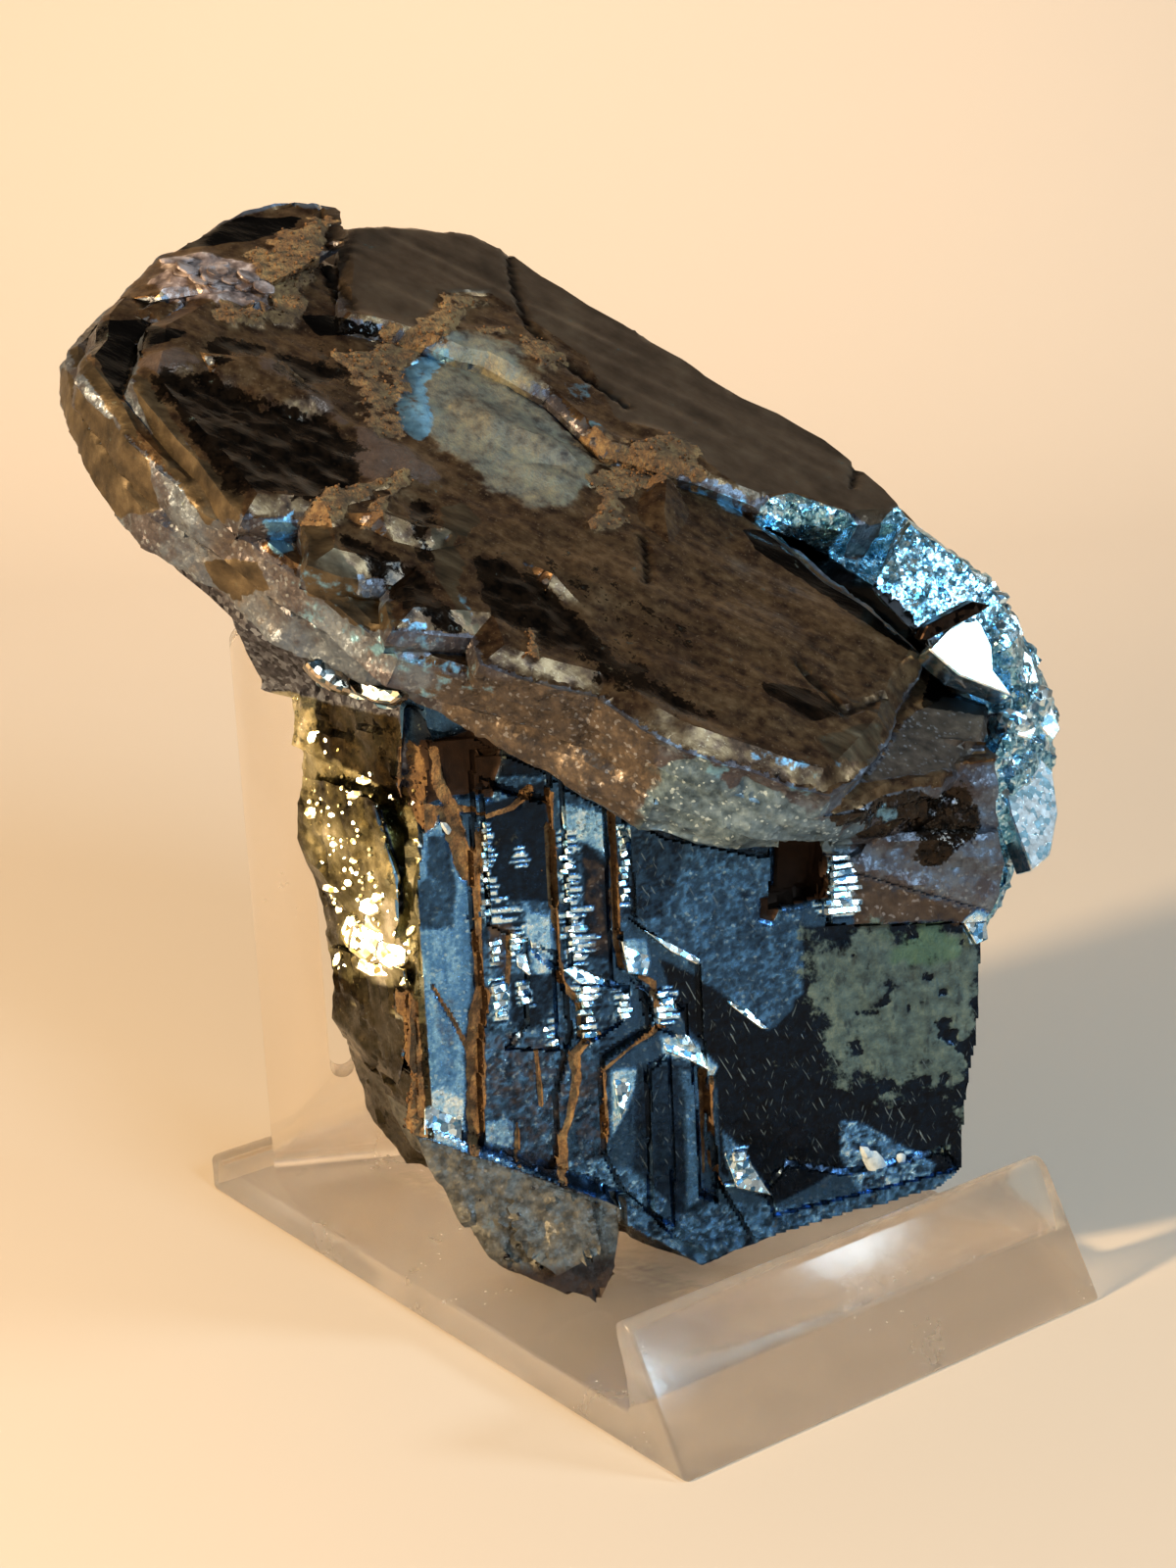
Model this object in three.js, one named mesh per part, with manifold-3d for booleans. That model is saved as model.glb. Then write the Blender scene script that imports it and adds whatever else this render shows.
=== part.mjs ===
// A hematite iron rose resting in a small clear acrylic display stand, in millimetres.
// The origin is the middle of the stand's underside, with X along the front lip, Y to the rear, Z up.
import * as THREE from "three";
import { ConvexGeometry } from "three/addons/geometries/ConvexGeometry.js";
import { mergeVertices } from "three/addons/utils/BufferGeometryUtils.js";
import Module from "manifold-3d";

const wasm = await Module();
wasm.setup();

// Stand
const sheet = 3.2;
const baseWidth = 45;
const baseDepth = 72;
const baseCorner = 1.2;
const lipReach = 6.8;
const lipHeight = 10.9;
const lipTip = 1.8;
const lipFoot = 7.2;
const lipRound = 0.6;
const uprightWidth = 14;
const uprightTop = 54.8;
const uprightCorner = 1.6;
const uprightTurn = THREE.MathUtils.degToRad(-29);
const uprightFoot = new THREE.Vector3(-19.6, 28.5, 0);
const slotWidth = 2.2;
const slotLow = 13;
const slotHigh = 50.5;
const gap = 0.3;

// Stone: where its front wall and its cap stand, and how they are turned
const wallTurn = THREE.MathUtils.degToRad(-30);
const wallFoot = new THREE.Vector3(-1, -17, 0);
const capCentre = new THREE.Vector3(-17.8, -17, 59.1);
const capAlong = new THREE.Vector3(0.624, -0.633, -0.458);
const capNormal = new THREE.Vector3(0.051, -0.552, 0.832);
const restLevel = sheet + gap;

// Repeatable wander for broken edges
function wander(seed) {
  let state = seed;
  return () => {
    state = (state * 1103515245 + 12345) % 2147483648;
    return state / 1073741824 - 1;
  };
}

function frameFrom(origin, along, normal) {
  const x = along.clone().normalize();
  const y = normal.clone().cross(x).normalize();
  const z = x.clone().cross(y);
  return new THREE.Matrix4().makeBasis(x, y, z).setPosition(origin);
}

// In the wall frame X runs right along the wall, Y up from the table and Z out of the wall.
const wallAlong = new THREE.Vector3(Math.cos(wallTurn), Math.sin(wallTurn), 0);
const wallNormal = new THREE.Vector3(Math.sin(wallTurn), -Math.cos(wallTurn), 0);
const wall = frameFrom(wallFoot, wallAlong, wallNormal);
// In the cap frame X runs down the long axis to the right, Y to the rear and Z out of the top face.
const cap = frameFrom(capCentre, capAlong, capNormal);

function solidOf(geometry, frame) {
  geometry.deleteAttribute("normal");
  geometry.deleteAttribute("uv");
  const merged = mergeVertices(geometry, 1e-4);
  merged.applyMatrix4(frame);
  const vertProperties = new Float32Array(merged.attributes.position.array);
  const triVerts = new Uint32Array(merged.index.array);
  return new wasm.Manifold(new wasm.Mesh({ numProp: 3, vertProperties, triVerts }));
}

function geometryOf(manifold) {
  const mesh = manifold.getMesh();
  const geometry = new THREE.BufferGeometry();
  geometry.setAttribute("position", new THREE.BufferAttribute(new Float32Array(mesh.vertProperties), 3));
  geometry.setIndex(new THREE.BufferAttribute(new Uint32Array(mesh.triVerts), 1));
  geometry.computeVertexNormals();
  return geometry;
}

function joined(solids) {
  return solids.reduce((whole, solid) => whole.add(solid));
}

function outlineShape(outline) {
  return new THREE.Shape(outline.map(([x, y]) => new THREE.Vector2(x, y)));
}

// A flat crystal plate between two levels of its frame, its edges bevelled by bevel and set in by slope.
function plate(frame, outline, low, high, bevel = 0.5, slope = 1) {
  const geometry = new THREE.ExtrudeGeometry(outlineShape(outline), {
    depth: high - low - 2 * bevel,
    bevelThickness: bevel,
    bevelSize: bevel * slope,
    bevelOffset: -bevel * slope,
    bevelSegments: 1,
  });
  geometry.translate(0, 0, low + bevel);
  return solidOf(geometry, frame);
}

// A crystal lump with flat faces around its corner points.
function lump(frame, points) {
  return solidOf(new ConvexGeometry(points.map((point) => new THREE.Vector3(...point))), frame);
}

// The outline with its edges broken into steps that wander in and out, as a chipped rim does.
function chipped(outline, step, amount, seed) {
  const next = wander(seed);
  const broken = [];
  outline.forEach(([x, y], index) => {
    const [toX, toY] = outline[(index + 1) % outline.length];
    const length = Math.hypot(toX - x, toY - y);
    const pieces = Math.max(1, Math.round(length / step));
    broken.push([x, y]);
    for (let piece = 1; piece < pieces; piece += 1) {
      const share = (piece + 0.25 * next()) / pieces;
      const offset = amount * next();
      broken.push([
        x + (toX - x) * share - ((toY - y) / length) * offset,
        y + (toY - y) * share + ((toX - x) / length) * offset,
      ]);
    }
  });
  return broken;
}

// The stone's front wall, in terraces that rise to the right
function wallTerraces() {
  const terraces = [
    {
      front: 0,
      outline: [
        [-2.6, 23.5], [-1.9, 12], [1.2, 5.8], [9.5, 7.8], [17.3, 9.2], [19.4, 10.9], [19.7, 16.6],
        [20.8, 22.7], [21.2, 31.4], [22.2, 37], [22.4, 47], [-8.2, 47], [-8, 35.6], [-2.8, 31.4],
      ],
    },
    {
      front: -0.8,
      outline: [
        [-11.2, 15], [-9.8, 11.4], [-5.5, 6.6], [-2.2, 4.4], [0.6, 4.7], [4, 12], [4, 47], [-9.2, 47],
        [-9.1, 34.6], [-7.7, 30], [-6.9, 25.9], [-11, 23.6],
      ],
    },
    {
      front: -1.7,
      outline: [
        [-15.4, 13.2], [-9.8, 11], [-6, 14], [-6, 47], [-14, 49], [-14.2, 31.7], [-13.4, 25.6],
        [-14.8, 20.8],
      ],
    },
    {
      front: -2.7,
      outline: [
        [-21.2, 15.6], [-15, 13], [-12, 16], [-12, 50], [-20, 50], [-21, 36], [-20.2, 28.5], [-21, 22],
      ],
    },
    {
      front: -3.6,
      outline: [[-26.8, 17.8], [-20.6, 15.3], [-18, 18], [-18, 52], [-23.4, 52], [-25.4, 38], [-25.9, 29]],
    },
  ];
  return terraces.map(({ front, outline }, index) =>
    plate(wall, chipped(outline, 3, 0.18, 11 + index), front - 7, front, 0.35, 0.6));
}

// Small growth steps that stand on the terraces
function wallSteps() {
  const steps = [
    { from: -2.7, rise: 0.9, outline: [[-19.6, 35.6], [-14.2, 32.6], [-14.2, 46], [-19.6, 48]] },
    { from: -2.7, rise: 0.5, outline: [[-18.8, 24.5], [-17, 27], [-16.6, 34], [-14.2, 31.5], [-14.2, 24]] },
    { from: -1.7, rise: 0.7, outline: [[-13.2, 31.8], [-9.6, 29.8], [-9.6, 46.5], [-13.2, 47.5]] },
    { from: -1.7, rise: 0.5, outline: [[-12.2, 24.6], [-9.2, 26.2], [-8.2, 29.4], [-12.2, 31]] },
    { from: -0.8, rise: 0.6, outline: [[-8.2, 30.2], [-3.6, 27.6], [-3.6, 24.4], [-6.2, 26], [-7.2, 29]] },
    { from: -0.8, rise: 0.4, outline: [[-7.6, 9.4], [-5.4, 7.8], [-5.2, 23.8], [-7.4, 22.6]] },
    { from: 0, rise: 1.1, outline: [[8, 34], [21.4, 33], [22.6, 37], [22, 41], [12, 41.5], [7.4, 37.6]] },
    { from: 0, rise: 0.4, outline: [[3, 8.4], [18.8, 11], [17.6, 13.2], [9, 12], [4, 13.4], [2, 11]] },
  ];
  return steps.map(({ from, rise, outline }) => plate(wall, outline, from - 1.2, from + rise, 0.25, 1.4));
}

// The body behind the wall, with the bright left side and the keel that rests on the base
function stoneBody() {
  const core = lump(wall, [
    [-25.2, 19, -4.2], [-23.4, 56, -4.2], [-11, 12, -2.4], [-3.2, restLevel, -1], [0.4, 4.5, -1.4],
    [19, 11.2, -1.4], [21.8, 48, -1.4], [-8, restLevel, -12.4], [-27, 9.8, -14.5], [-30.3, 15, -16],
    [-31.6, 22, -16], [-33.3, 40, -16], [-33.8, 52, -16], [-31, 18, -22], [-31, 56, -27], [-24, 16, -27.4],
    [6, 14, -24], [16, 16, -15], [18, 44, -20], [8, 46, -27.4], [18, 24, -14],
  ]);
  const leftLedges = [
    lump(wall, [
      [-26.4, 39.5, -4.6], [-26.6, 35.5, -4.8], [-27.2, 33.4, -6], [-33.6, 46, -14.6], [-34.4, 40.5, -15],
      [-32.8, 34.8, -15], [-28, 46, -6], [-26, 40, -16],
    ]),
    lump(wall, [
      [-26.5, 31.6, -4.6], [-26.6, 25, -4.8], [-32.4, 30.6, -14], [-32.4, 24, -14.6], [-31, 20, -15.4],
      [-27.6, 20.6, -6.6], [-25, 28, -16],
    ]),
    lump(wall, [
      [-24.8, 55, -5], [-25.8, 46.4, -5.2], [-33, 53.8, -15], [-34.3, 48.4, -15.4], [-24, 50, -18],
    ]),
  ];
  return [core, ...leftLedges];
}

// The dark pointed piece below the wall, whose tip rests on the base
function stoneFang() {
  return [
    lump(wall, [
      [-26.9, 18.8, -3.4], [-11.4, 12.4, -1.2], [-10, 10.6, 0.4], [-10.8, 5.8, 2], [-12.2, restLevel, 2.8],
      [-13.6, restLevel, 2.6], [-18, 5.6, 2.4], [-20.4, 6.4, 1.4], [-23.2, 10.4, -0.4], [-25.9, 15.2, -2],
      [-25, 13, -12], [-12, 9, -9], [-15, 5.4, -3],
    ]),
    lump(wall, [
      [-19.6, 14.4, -1.4], [-12.6, 11.6, 0.6], [-12, 7.4, 2.6], [-16, 6.4, 3.2], [-19, 8.4, 2], [-15, 9, -4],
    ]),
  ];
}

// Steps cut into the wall: the pit under the cap and the notch beside the lower column
function wallCuts() {
  return [
    plate(wall, [[3.4, 35.6], [7.2, 36.4], [8.2, 43], [3.6, 43]], -2.4, 4, 0.3),
    plate(wall, [[-3.2, 10.4], [-1.6, 9.6], [-2.4, 22.8], [-3.4, 23.2]], -1.8, 4, 0.2),
  ];
}

// The thick cap: a stack of plates whose broken edges make its rim
function capPlates() {
  const layers = [
    {
      low: -5, high: 0, bevel: 1.2, slope: 1.5,
      outline: [
        [-42.4, 19], [-40.4, 12], [-26.5, 2.4], [-22.6, 5.2], [-20.4, 0.8], [-14.2, 3], [-12.2, -1.9],
        [-6.6, 1.6], [-5, -0.8], [4, 1.8],
        [11.5, 0.4], [17, 1.8], [23.4, 3.3], [25.6, 10], [26.8, 25.2], [18, 29.2], [8.6, 33], [-4, 36],
        [-20, 39], [-36, 40],
      ],
    },
    {
      low: -5, high: 1.6, bevel: 0.9, slope: 1,
      outline: [
        [-33.6, 42.4], [-29, 29], [-22.8, 31.6], [-17, 33], [-11, 32.4], [-4.5, 28.6], [4, 31.2],
        [8.6, 31.8], [16, 35], [21.4, 40], [18.6, 42.4], [14.6, 44.4], [9.6, 45.6], [3.8, 45.8],
        [-2.4, 47.2], [-8.5, 48.2], [-14.6, 49.2], [-20, 50.4], [-24.6, 50.4], [-29.3, 46.8],
      ],
    },
    {
      low: -7.4, high: -3, bevel: 0.7, slope: 1.2,
      outline: [
        [-46.6, 21], [-44.4, 13.2], [-38.6, 8.4], [-30.5, 4.2], [-24, 2.6], [-17, 1], [-11, -1.6],
        [-3, 0.4], [5, 2.4], [12, 0.8], [19, 1.8], [25, 4.8], [28, 9.6], [32, 13.4], [34.3, 22.6],
        [33.8, 27], [28.6, 34], [29, 42], [21, 47.4], [4, 50.4], [-20, 53], [-32, 49], [-41, 39], [-46, 30],
      ],
    },
    {
      low: -11, high: -6.6, bevel: 0.7, slope: 1.2,
      outline: [
        [-48.2, 20], [-45, 14.4], [-40, 9.6], [-34, 5.2], [-26, 4.2], [-20.6, 1.8], [-13, 1.6],
        [-7.5, 3.2], [3, 2.2], [11.5, 0.6], [19, 3.4], [27, 9.8], [33, 15], [37.2, 20.6], [37, 30],
        [31, 42], [20, 50], [0, 54], [-20, 55], [-34, 50], [-44, 39], [-48, 29],
      ],
    },
    {
      low: -15, high: -10, bevel: 1.4, slope: 1.6,
      outline: [
        [-40, 20], [-34, 10], [-24, 5.4], [-12, 5.4], [2, 5.6], [14, 4.4], [24, 9.6], [33, 19], [33, 32],
        [24, 44], [8, 50], [-16, 51], [-32, 44], [-40, 32],
      ],
    },
  ];
  return layers.map(({ low, high, bevel, slope, outline }, index) =>
    plate(cap, chipped(outline, 3.2, 0.42, 31 + index), low, high, bevel, slope));
}

// The cap's under side, narrowing to the body
function capUnderside() {
  return lump(cap, [
    [-35, 19, -14.6], [-28, 10, -14.6], [-8, 7.6, -14.6], [20, 9, -14.6], [30, 20, -14.6], [28, 36, -14.6],
    [8, 46, -14.6], [-18, 46, -14.6], [-33, 34, -14.6], [-22, 12, -24], [6, 10, -22], [22, 24, -22],
    [8, 36, -25], [-15, 30, -23], [-22, 19, -25.4],
  ]);
}

// Lumps, ridges and small crystals that stand on the cap
function capRelief() {
  return [
    lump(cap, [
      [-46.8, 25, -4], [-46, 30, -2.4], [-42.6, 36.6, 0.4], [-38.8, 41.6, 1.4], [-35, 42.6, 2.2],
      [-33, 38, 2], [-36, 30, 0.8], [-43, 24, -1.4], [-38, 32, -6], [-44, 34, -7],
    ]),
    lump(cap, [
      [-44.6, 22.6, -3], [-37, 21.6, -1], [-34.6, 27, 0.8], [-41, 27.8, -0.6], [-40, 24, -5],
    ]),
    lump(cap, [
      [-38.4, 18.4, -1], [-31, 22.4, -1], [-24, 20, -1], [-25.4, 14.6, -1], [-33, 12.6, -1],
      [-35.6, 17.4, 1], [-27.6, 17.6, 1.2], [-31, 20.6, 1],
    ]),
    lump(cap, [
      [-23.4, 6, -1], [-17.6, 11.4, -1], [-9.4, 11, -1], [-13.4, 5.8, -1], [-17.6, 7.4, 1.1], [-12, 9.6, 1],
    ]),
    lump(cap, [
      [-8, 13, -1], [-2, 12, -1], [3, 9, -1], [-3, 7.4, -1], [-3.4, 10.4, 0.9],
    ]),
    lump(cap, [
      [-12, 20, -1], [-22, 26, -1], [-20, 33, -1], [-8, 31, -1], [-3, 26, -1], [-14, 26, 0.9], [-8, 27, 0.8],
    ]),
    lump(cap, [
      [-1, 23, -1], [5, 20, -1], [6, 28, -1], [-1, 31, -1], [2, 25, 1.2], [1, 29, 1.4],
    ]),
  ];
}

// The hollow at the cap's right rear, where the bright cluster begins
function capHollow() {
  return lump(cap, [
    [27, 24.6, 1], [8, 32, 1], [16, 35.2, 1], [26, 40, 1], [30, 32, 1], [26, 26, -2.2], [13, 32, -1.2],
    [24, 37, -2.4],
  ]);
}

// The bright stepped cluster at the right end, below the cap's rear edge
function rightCluster() {
  return [
    lump(wall, [
      [22.8, 29.4, -7], [25.4, 35.4, -6.4], [26.6, 50, -6.4], [24, 58, -8], [29.4, 43.6, -9], [29.2, 49, -9],
      [27.4, 36, -8.6], [30.8, 42, -14], [30.9, 47.4, -14], [26.4, 56.4, -11], [21, 28, -12], [22, 34, -20],
      [27, 42, -22], [22, 60, -20], [17, 44, -11], [17, 56, -19],
    ]),
    lump(wall, [
      [21, 52, -5], [26.2, 55.6, -8], [22.4, 61, -9], [18, 64.6, -11], [14, 60, -8], [24.6, 59, -15],
      [19, 63.6, -18], [22, 50, -16], [28, 54.6, -14],
    ]),
    lump(wall, [
      [24.4, 38, -5], [27.6, 40.6, -7], [27.6, 46, -7], [25, 48.6, -5], [22, 44, -4], [24, 42, -12],
    ]),
    lump(wall, [
      [27.8, 50.4, -10], [29.6, 51.4, -13], [27, 55.6, -13], [24.6, 52, -8.6], [26, 48, -16],
    ]),
  ];
}

// Plates that stand side by side at the back, where the stone leans on the upright
function rearPlates() {
  const leaves = [
    { back: -20.4, outline: [[-30, 18], [-18, 12], [2, 8], [16, 15], [24, 30], [24, 50], [-31, 58]] },
    { back: -25.4, outline: [[-32, 26], [-24, 15], [-4, 10], [10, 13], [20, 28], [18, 52], [-32, 58]] },
    { back: -29.7, outline: [[-31, 34], [-27, 20], [-12, 15], [4, 20], [12, 34], [10, 56], [-29, 60]] },
  ];
  return leaves.map(({ back, outline }, index) =>
    plate(wall, chipped(outline, 4, 0.5, 61 + index), back, back + 6, 1.1, 1.2));
}

function ironRose() {
  const grown = joined([
    ...stoneBody(), ...wallTerraces(), ...wallSteps(), ...stoneFang(), ...rearPlates(),
    ...capPlates(), capUnderside(), ...rightCluster(),
  ]);
  const cut = [...wallCuts(), capHollow()].reduce((stone, tool) => stone.subtract(tool), grown);
  return joined([cut, ...capRelief()]);
}

function roundedRectangle(width, height, corner) {
  const shape = new THREE.Shape();
  const x = width / 2;
  const y = height / 2;
  shape.moveTo(corner - x, -y);
  shape.lineTo(x - corner, -y);
  shape.absarc(x - corner, corner - y, corner, -Math.PI / 2, 0, false);
  shape.absarc(x - corner, y - corner, corner, 0, Math.PI / 2, false);
  shape.absarc(corner - x, y - corner, corner, Math.PI / 2, Math.PI, false);
  shape.absarc(corner - x, corner - y, corner, Math.PI, 1.5 * Math.PI, false);
  return shape;
}

// The lip's end profile: an outer face that leans back, a rounded tip and a hollow inner face
function lipProfile() {
  const tip = lipReach + lipTip;
  const shape = new THREE.Shape();
  shape.moveTo(0, 0);
  shape.lineTo(lipReach - lipRound, lipHeight - lipRound);
  shape.quadraticCurveTo(lipReach, lipHeight, lipReach + lipRound, lipHeight);
  shape.lineTo(tip - lipRound, lipHeight - lipRound / 2);
  shape.quadraticCurveTo(tip, lipHeight - lipRound, tip - lipRound, lipHeight - 4 * lipRound);
  shape.quadraticCurveTo(lipReach, lipHeight / 2, lipFoot, sheet);
  shape.lineTo(lipFoot + lipTip, sheet);
  shape.lineTo(lipFoot + lipTip, 0);
  return shape;
}

function standBase() {
  const floorDepth = baseDepth - lipFoot;
  const floor = new THREE.ExtrudeGeometry(roundedRectangle(baseWidth, floorDepth, baseCorner), {
    depth: sheet, bevelEnabled: false, curveSegments: 4,
  });
  floor.translate(0, lipFoot / 2, 0);
  const lip = new THREE.ExtrudeGeometry(lipProfile(), {
    depth: baseWidth, bevelEnabled: false, curveSegments: 5,
  });
  const across = new THREE.Matrix4().makeBasis(
    new THREE.Vector3(0, 1, 0), new THREE.Vector3(0, 0, 1), new THREE.Vector3(1, 0, 0));
  across.setPosition(-baseWidth / 2, -baseDepth / 2, 0);
  return solidOf(floor, new THREE.Matrix4()).add(solidOf(lip, across));
}

function uprightShape() {
  const shape = new THREE.Shape();
  shape.moveTo(0, restLevel);
  shape.lineTo(uprightWidth, restLevel);
  const shoulder = uprightTop - uprightCorner;
  shape.lineTo(uprightWidth, shoulder);
  shape.absarc(uprightWidth - uprightCorner, shoulder, uprightCorner, 0, Math.PI / 2, false);
  shape.lineTo(uprightCorner, uprightTop);
  shape.absarc(uprightCorner, shoulder, uprightCorner, Math.PI / 2, Math.PI, false);
  const slot = new THREE.Path();
  const middle = uprightWidth / 2;
  const end = slotWidth / 2;
  slot.moveTo(middle - end, slotLow);
  slot.lineTo(middle - end, slotHigh - end);
  slot.absarc(middle, slotHigh - end, end, Math.PI, 0, true);
  slot.lineTo(middle + end, slotLow);
  slot.absarc(middle, slotLow, end, 0, -Math.PI, true);
  shape.holes.push(slot);
  return shape;
}

function standUpright() {
  const bar = new THREE.ExtrudeGeometry(uprightShape(), {
    depth: sheet, bevelEnabled: false, curveSegments: 5,
  });
  const along = new THREE.Vector3(Math.cos(uprightTurn), Math.sin(uprightTurn), 0);
  const back = new THREE.Vector3(-Math.sin(uprightTurn), Math.cos(uprightTurn), 0);
  const place = new THREE.Matrix4().makeBasis(along, new THREE.Vector3(0, 0, 1), back.negate());
  place.setPosition(uprightFoot.clone().addScaledVector(back, -sheet));
  return solidOf(bar, place);
}

const hematite = new THREE.MeshStandardMaterial({ color: 0x3c4148, roughness: 0.32, metalness: 0.9 });
const acrylic = new THREE.MeshStandardMaterial({
  color: 0xf0e6da, roughness: 0.12, metalness: 0, transparent: true, opacity: 0.4,
});

function named(name, manifold, material) {
  const mesh = new THREE.Mesh(geometryOf(manifold), material);
  mesh.name = name;
  return mesh;
}

const group = new THREE.Group();
group.add(named("iron_rose", ironRose(), hematite));
group.add(named("stand_base", standBase(), acrylic));
group.add(named("stand_upright", standUpright(), acrylic));

export default group;
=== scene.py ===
import math

import bpy
import numpy as np
from mathutils import Matrix, Vector
from mathutils.bvhtree import BVHTree

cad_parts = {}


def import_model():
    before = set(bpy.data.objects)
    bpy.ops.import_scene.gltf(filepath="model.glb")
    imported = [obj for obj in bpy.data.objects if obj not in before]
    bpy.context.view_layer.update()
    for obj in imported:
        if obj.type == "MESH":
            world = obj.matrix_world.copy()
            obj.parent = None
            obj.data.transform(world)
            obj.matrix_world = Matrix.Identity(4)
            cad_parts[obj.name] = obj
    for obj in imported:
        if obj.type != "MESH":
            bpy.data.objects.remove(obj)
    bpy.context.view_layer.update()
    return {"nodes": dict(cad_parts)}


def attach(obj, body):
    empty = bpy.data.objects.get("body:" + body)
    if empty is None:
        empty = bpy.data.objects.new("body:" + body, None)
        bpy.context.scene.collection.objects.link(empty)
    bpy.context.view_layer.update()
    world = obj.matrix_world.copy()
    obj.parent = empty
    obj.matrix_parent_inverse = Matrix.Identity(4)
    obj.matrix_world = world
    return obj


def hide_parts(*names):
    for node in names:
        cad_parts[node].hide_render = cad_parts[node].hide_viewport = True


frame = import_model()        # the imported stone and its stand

mm = 0.001
print("frame loaded")


# Where the photograph was taken from, in millimetres and degrees, and its size in pixels
cameraView = {"place": (-143.0, -192.4, 117.1), "yaw": 36.2, "pitch": -17.2, "roll": -2.8, "lens": 67.5}
picture = {"width": 1200, "height": 1600, "sensor": 36}
pixelsPerSlope = cameraView["lens"] / picture["sensor"] * picture["height"]

# The stone's two crystal frames, as in the part: the front wall and the cap
wallFrame = {
    "foot": (-1.0, -17.0, 0.0),
    "along": (math.cos(math.radians(30)), -0.5, 0.0),
    "normal": (-0.5, -math.cos(math.radians(30)), 0.0),
}
capFrame = {
    "foot": (-17.8, -17.0, 59.1),
    "along": (0.624, -0.633, -0.458),
    "normal": (0.051, -0.552, 0.832),
}


def axesOf(crystal):
    along = np.array(crystal["along"]) / np.linalg.norm(crystal["along"])
    across = np.cross(crystal["normal"], along)
    across /= np.linalg.norm(across)
    return np.stack([along, across, np.cross(along, across)])


wallAxes = axesOf(wallFrame)     # rows: along the wall, up, out of the wall
capAxes = axesOf(capFrame)       # rows: down the long axis, to the rear, out of the top


def toWall(points):
    return ((points - wallFrame["foot"]) @ wallAxes.T).T


def toCap(points):
    return ((points - capFrame["foot"]) @ capAxes.T).T


# Right, up and forward of the camera
def viewAxes():
    yaw, pitch, roll = (math.radians(cameraView[name]) for name in ("yaw", "pitch", "roll"))
    look = Vector((math.sin(yaw) * math.cos(pitch), math.cos(yaw) * math.cos(pitch), math.sin(pitch)))
    level = look.cross(Vector((0, 0, 1))).normalized()
    upright = level.cross(look)
    right = level * math.cos(roll) + upright * math.sin(roll)
    return right, upright * math.cos(roll) - level * math.sin(roll), look


# Where points lie as seen from the front left, in pixels from the picture's top left corner
def toSight(points):
    right, up, look = (np.array(axis) for axis in viewAxes())
    away = points - cameraView["place"]
    scale = pixelsPerSlope / (away @ look)
    return picture["width"] / 2 + away @ right * scale, picture["height"] / 2 - away @ up * scale


def matrixIn(crystal, axes):
    matrix = Matrix([list(column) for column in axes.T]).to_4x4()
    matrix.translation = Vector(crystal["foot"])
    return matrix


wallMatrix = matrixIn(wallFrame, wallAxes)
capMatrix = matrixIn(capFrame, capAxes)


# Noise on arrays of points: these numbers stir a cell's place and the seed into a value from 0 to 1
stirring = {
    "cell": (73856093, 19349663, 83492791), "seed": (7919, 17),
    "rounds": ((13, 1274126177), (15, 668265263)), "mask": 0x7FFFFFFF, "range": 0xFFFFFF,
}


def cellHash(cells, seed):
    x, y, z = (cells[..., k] * factor for k, factor in enumerate(stirring["cell"]))
    factor, start = stirring["seed"]
    code = (x ^ y ^ z ^ (seed * factor + start)) & stirring["mask"]
    for shift, factor in stirring["rounds"]:
        code = ((code ^ (code >> shift)) * factor) & stirring["mask"]
    return (code & stirring["range"]) / stirring["range"]


def softNoise(points, size, seed=0):
    scaled = np.asarray(points) / size
    cells = np.floor(scaled).astype(np.int64)
    part = scaled - cells
    part = part * part * (3 - 2 * part)
    total = np.zeros(len(scaled))
    for corner in np.ndindex(2, 2, 2):
        weight = np.prod(np.where(np.array(corner) == 1, part, 1 - part), axis=1)
        total += weight * cellHash(cells + np.array(corner), seed)
    return total * 2 - 1


def layeredNoise(points, size, seed=0, layers=3):
    total = np.zeros(len(points))
    for layer in range(layers):
        total += softNoise(points, size / 2 ** layer, seed + layer) / 2 ** layer
    return total


# Small flat facets that tilt this way and that: their height, and a random tint for each
def facetNoise(points, size, seed=0):
    scaled = np.asarray(points) / size
    cells = np.floor(scaled).astype(np.int64)
    nearest = np.full(len(scaled), 9.0)
    height = np.zeros(len(scaled))
    tint = np.zeros(len(scaled))
    for offset in np.ndindex(3, 3, 3):
        neighbour = cells + np.array(offset) - 1
        spot = neighbour + np.stack([cellHash(neighbour, seed + k) for k in (1, 2, 3)], axis=1)
        away = scaled - spot
        distance = np.einsum("ij,ij->i", away, away)
        tilt = np.stack([cellHash(neighbour, seed + k) for k in (4, 5, 6)], axis=1) - 0.5
        closer = distance < nearest
        nearest = np.where(closer, distance, nearest)
        height = np.where(closer, np.einsum("ij,ij->i", away, tilt), height)
        tint = np.where(closer, cellHash(neighbour, seed + 9), tint)
    return height, tint


def ramp(values, low, high):
    part = np.clip((values - low) / (high - low), 0, 1)
    return part * part * (3 - 2 * part)


def sharesOfEdges(x, y, ax, ay, bx, by):
    length = max((bx - ax) ** 2 + (by - ay) ** 2, 1e-9)
    share = np.clip(((x - ax) * (bx - ax) + (y - ay) * (by - ay)) / length, 0, 1)
    return np.hypot(x - ax - share * (bx - ax), y - ay - share * (by - ay))


# Distance into an outline, positive inside it
def depthInside(x, y, outline):
    inside = np.zeros(len(x), bool)
    nearest = np.full(len(x), 1e9)
    corners = np.array(outline, float)
    for (ax, ay), (bx, by) in zip(corners, np.roll(corners, -1, axis=0)):
        nearest = np.minimum(nearest, sharesOfEdges(x, y, ax, ay, bx, by))
        if ay != by:
            inside ^= ((ay > y) != (by > y)) & (x < (bx - ax) * (y - ay) / (by - ay) + ax)
    return np.where(inside, nearest, -nearest)


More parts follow.
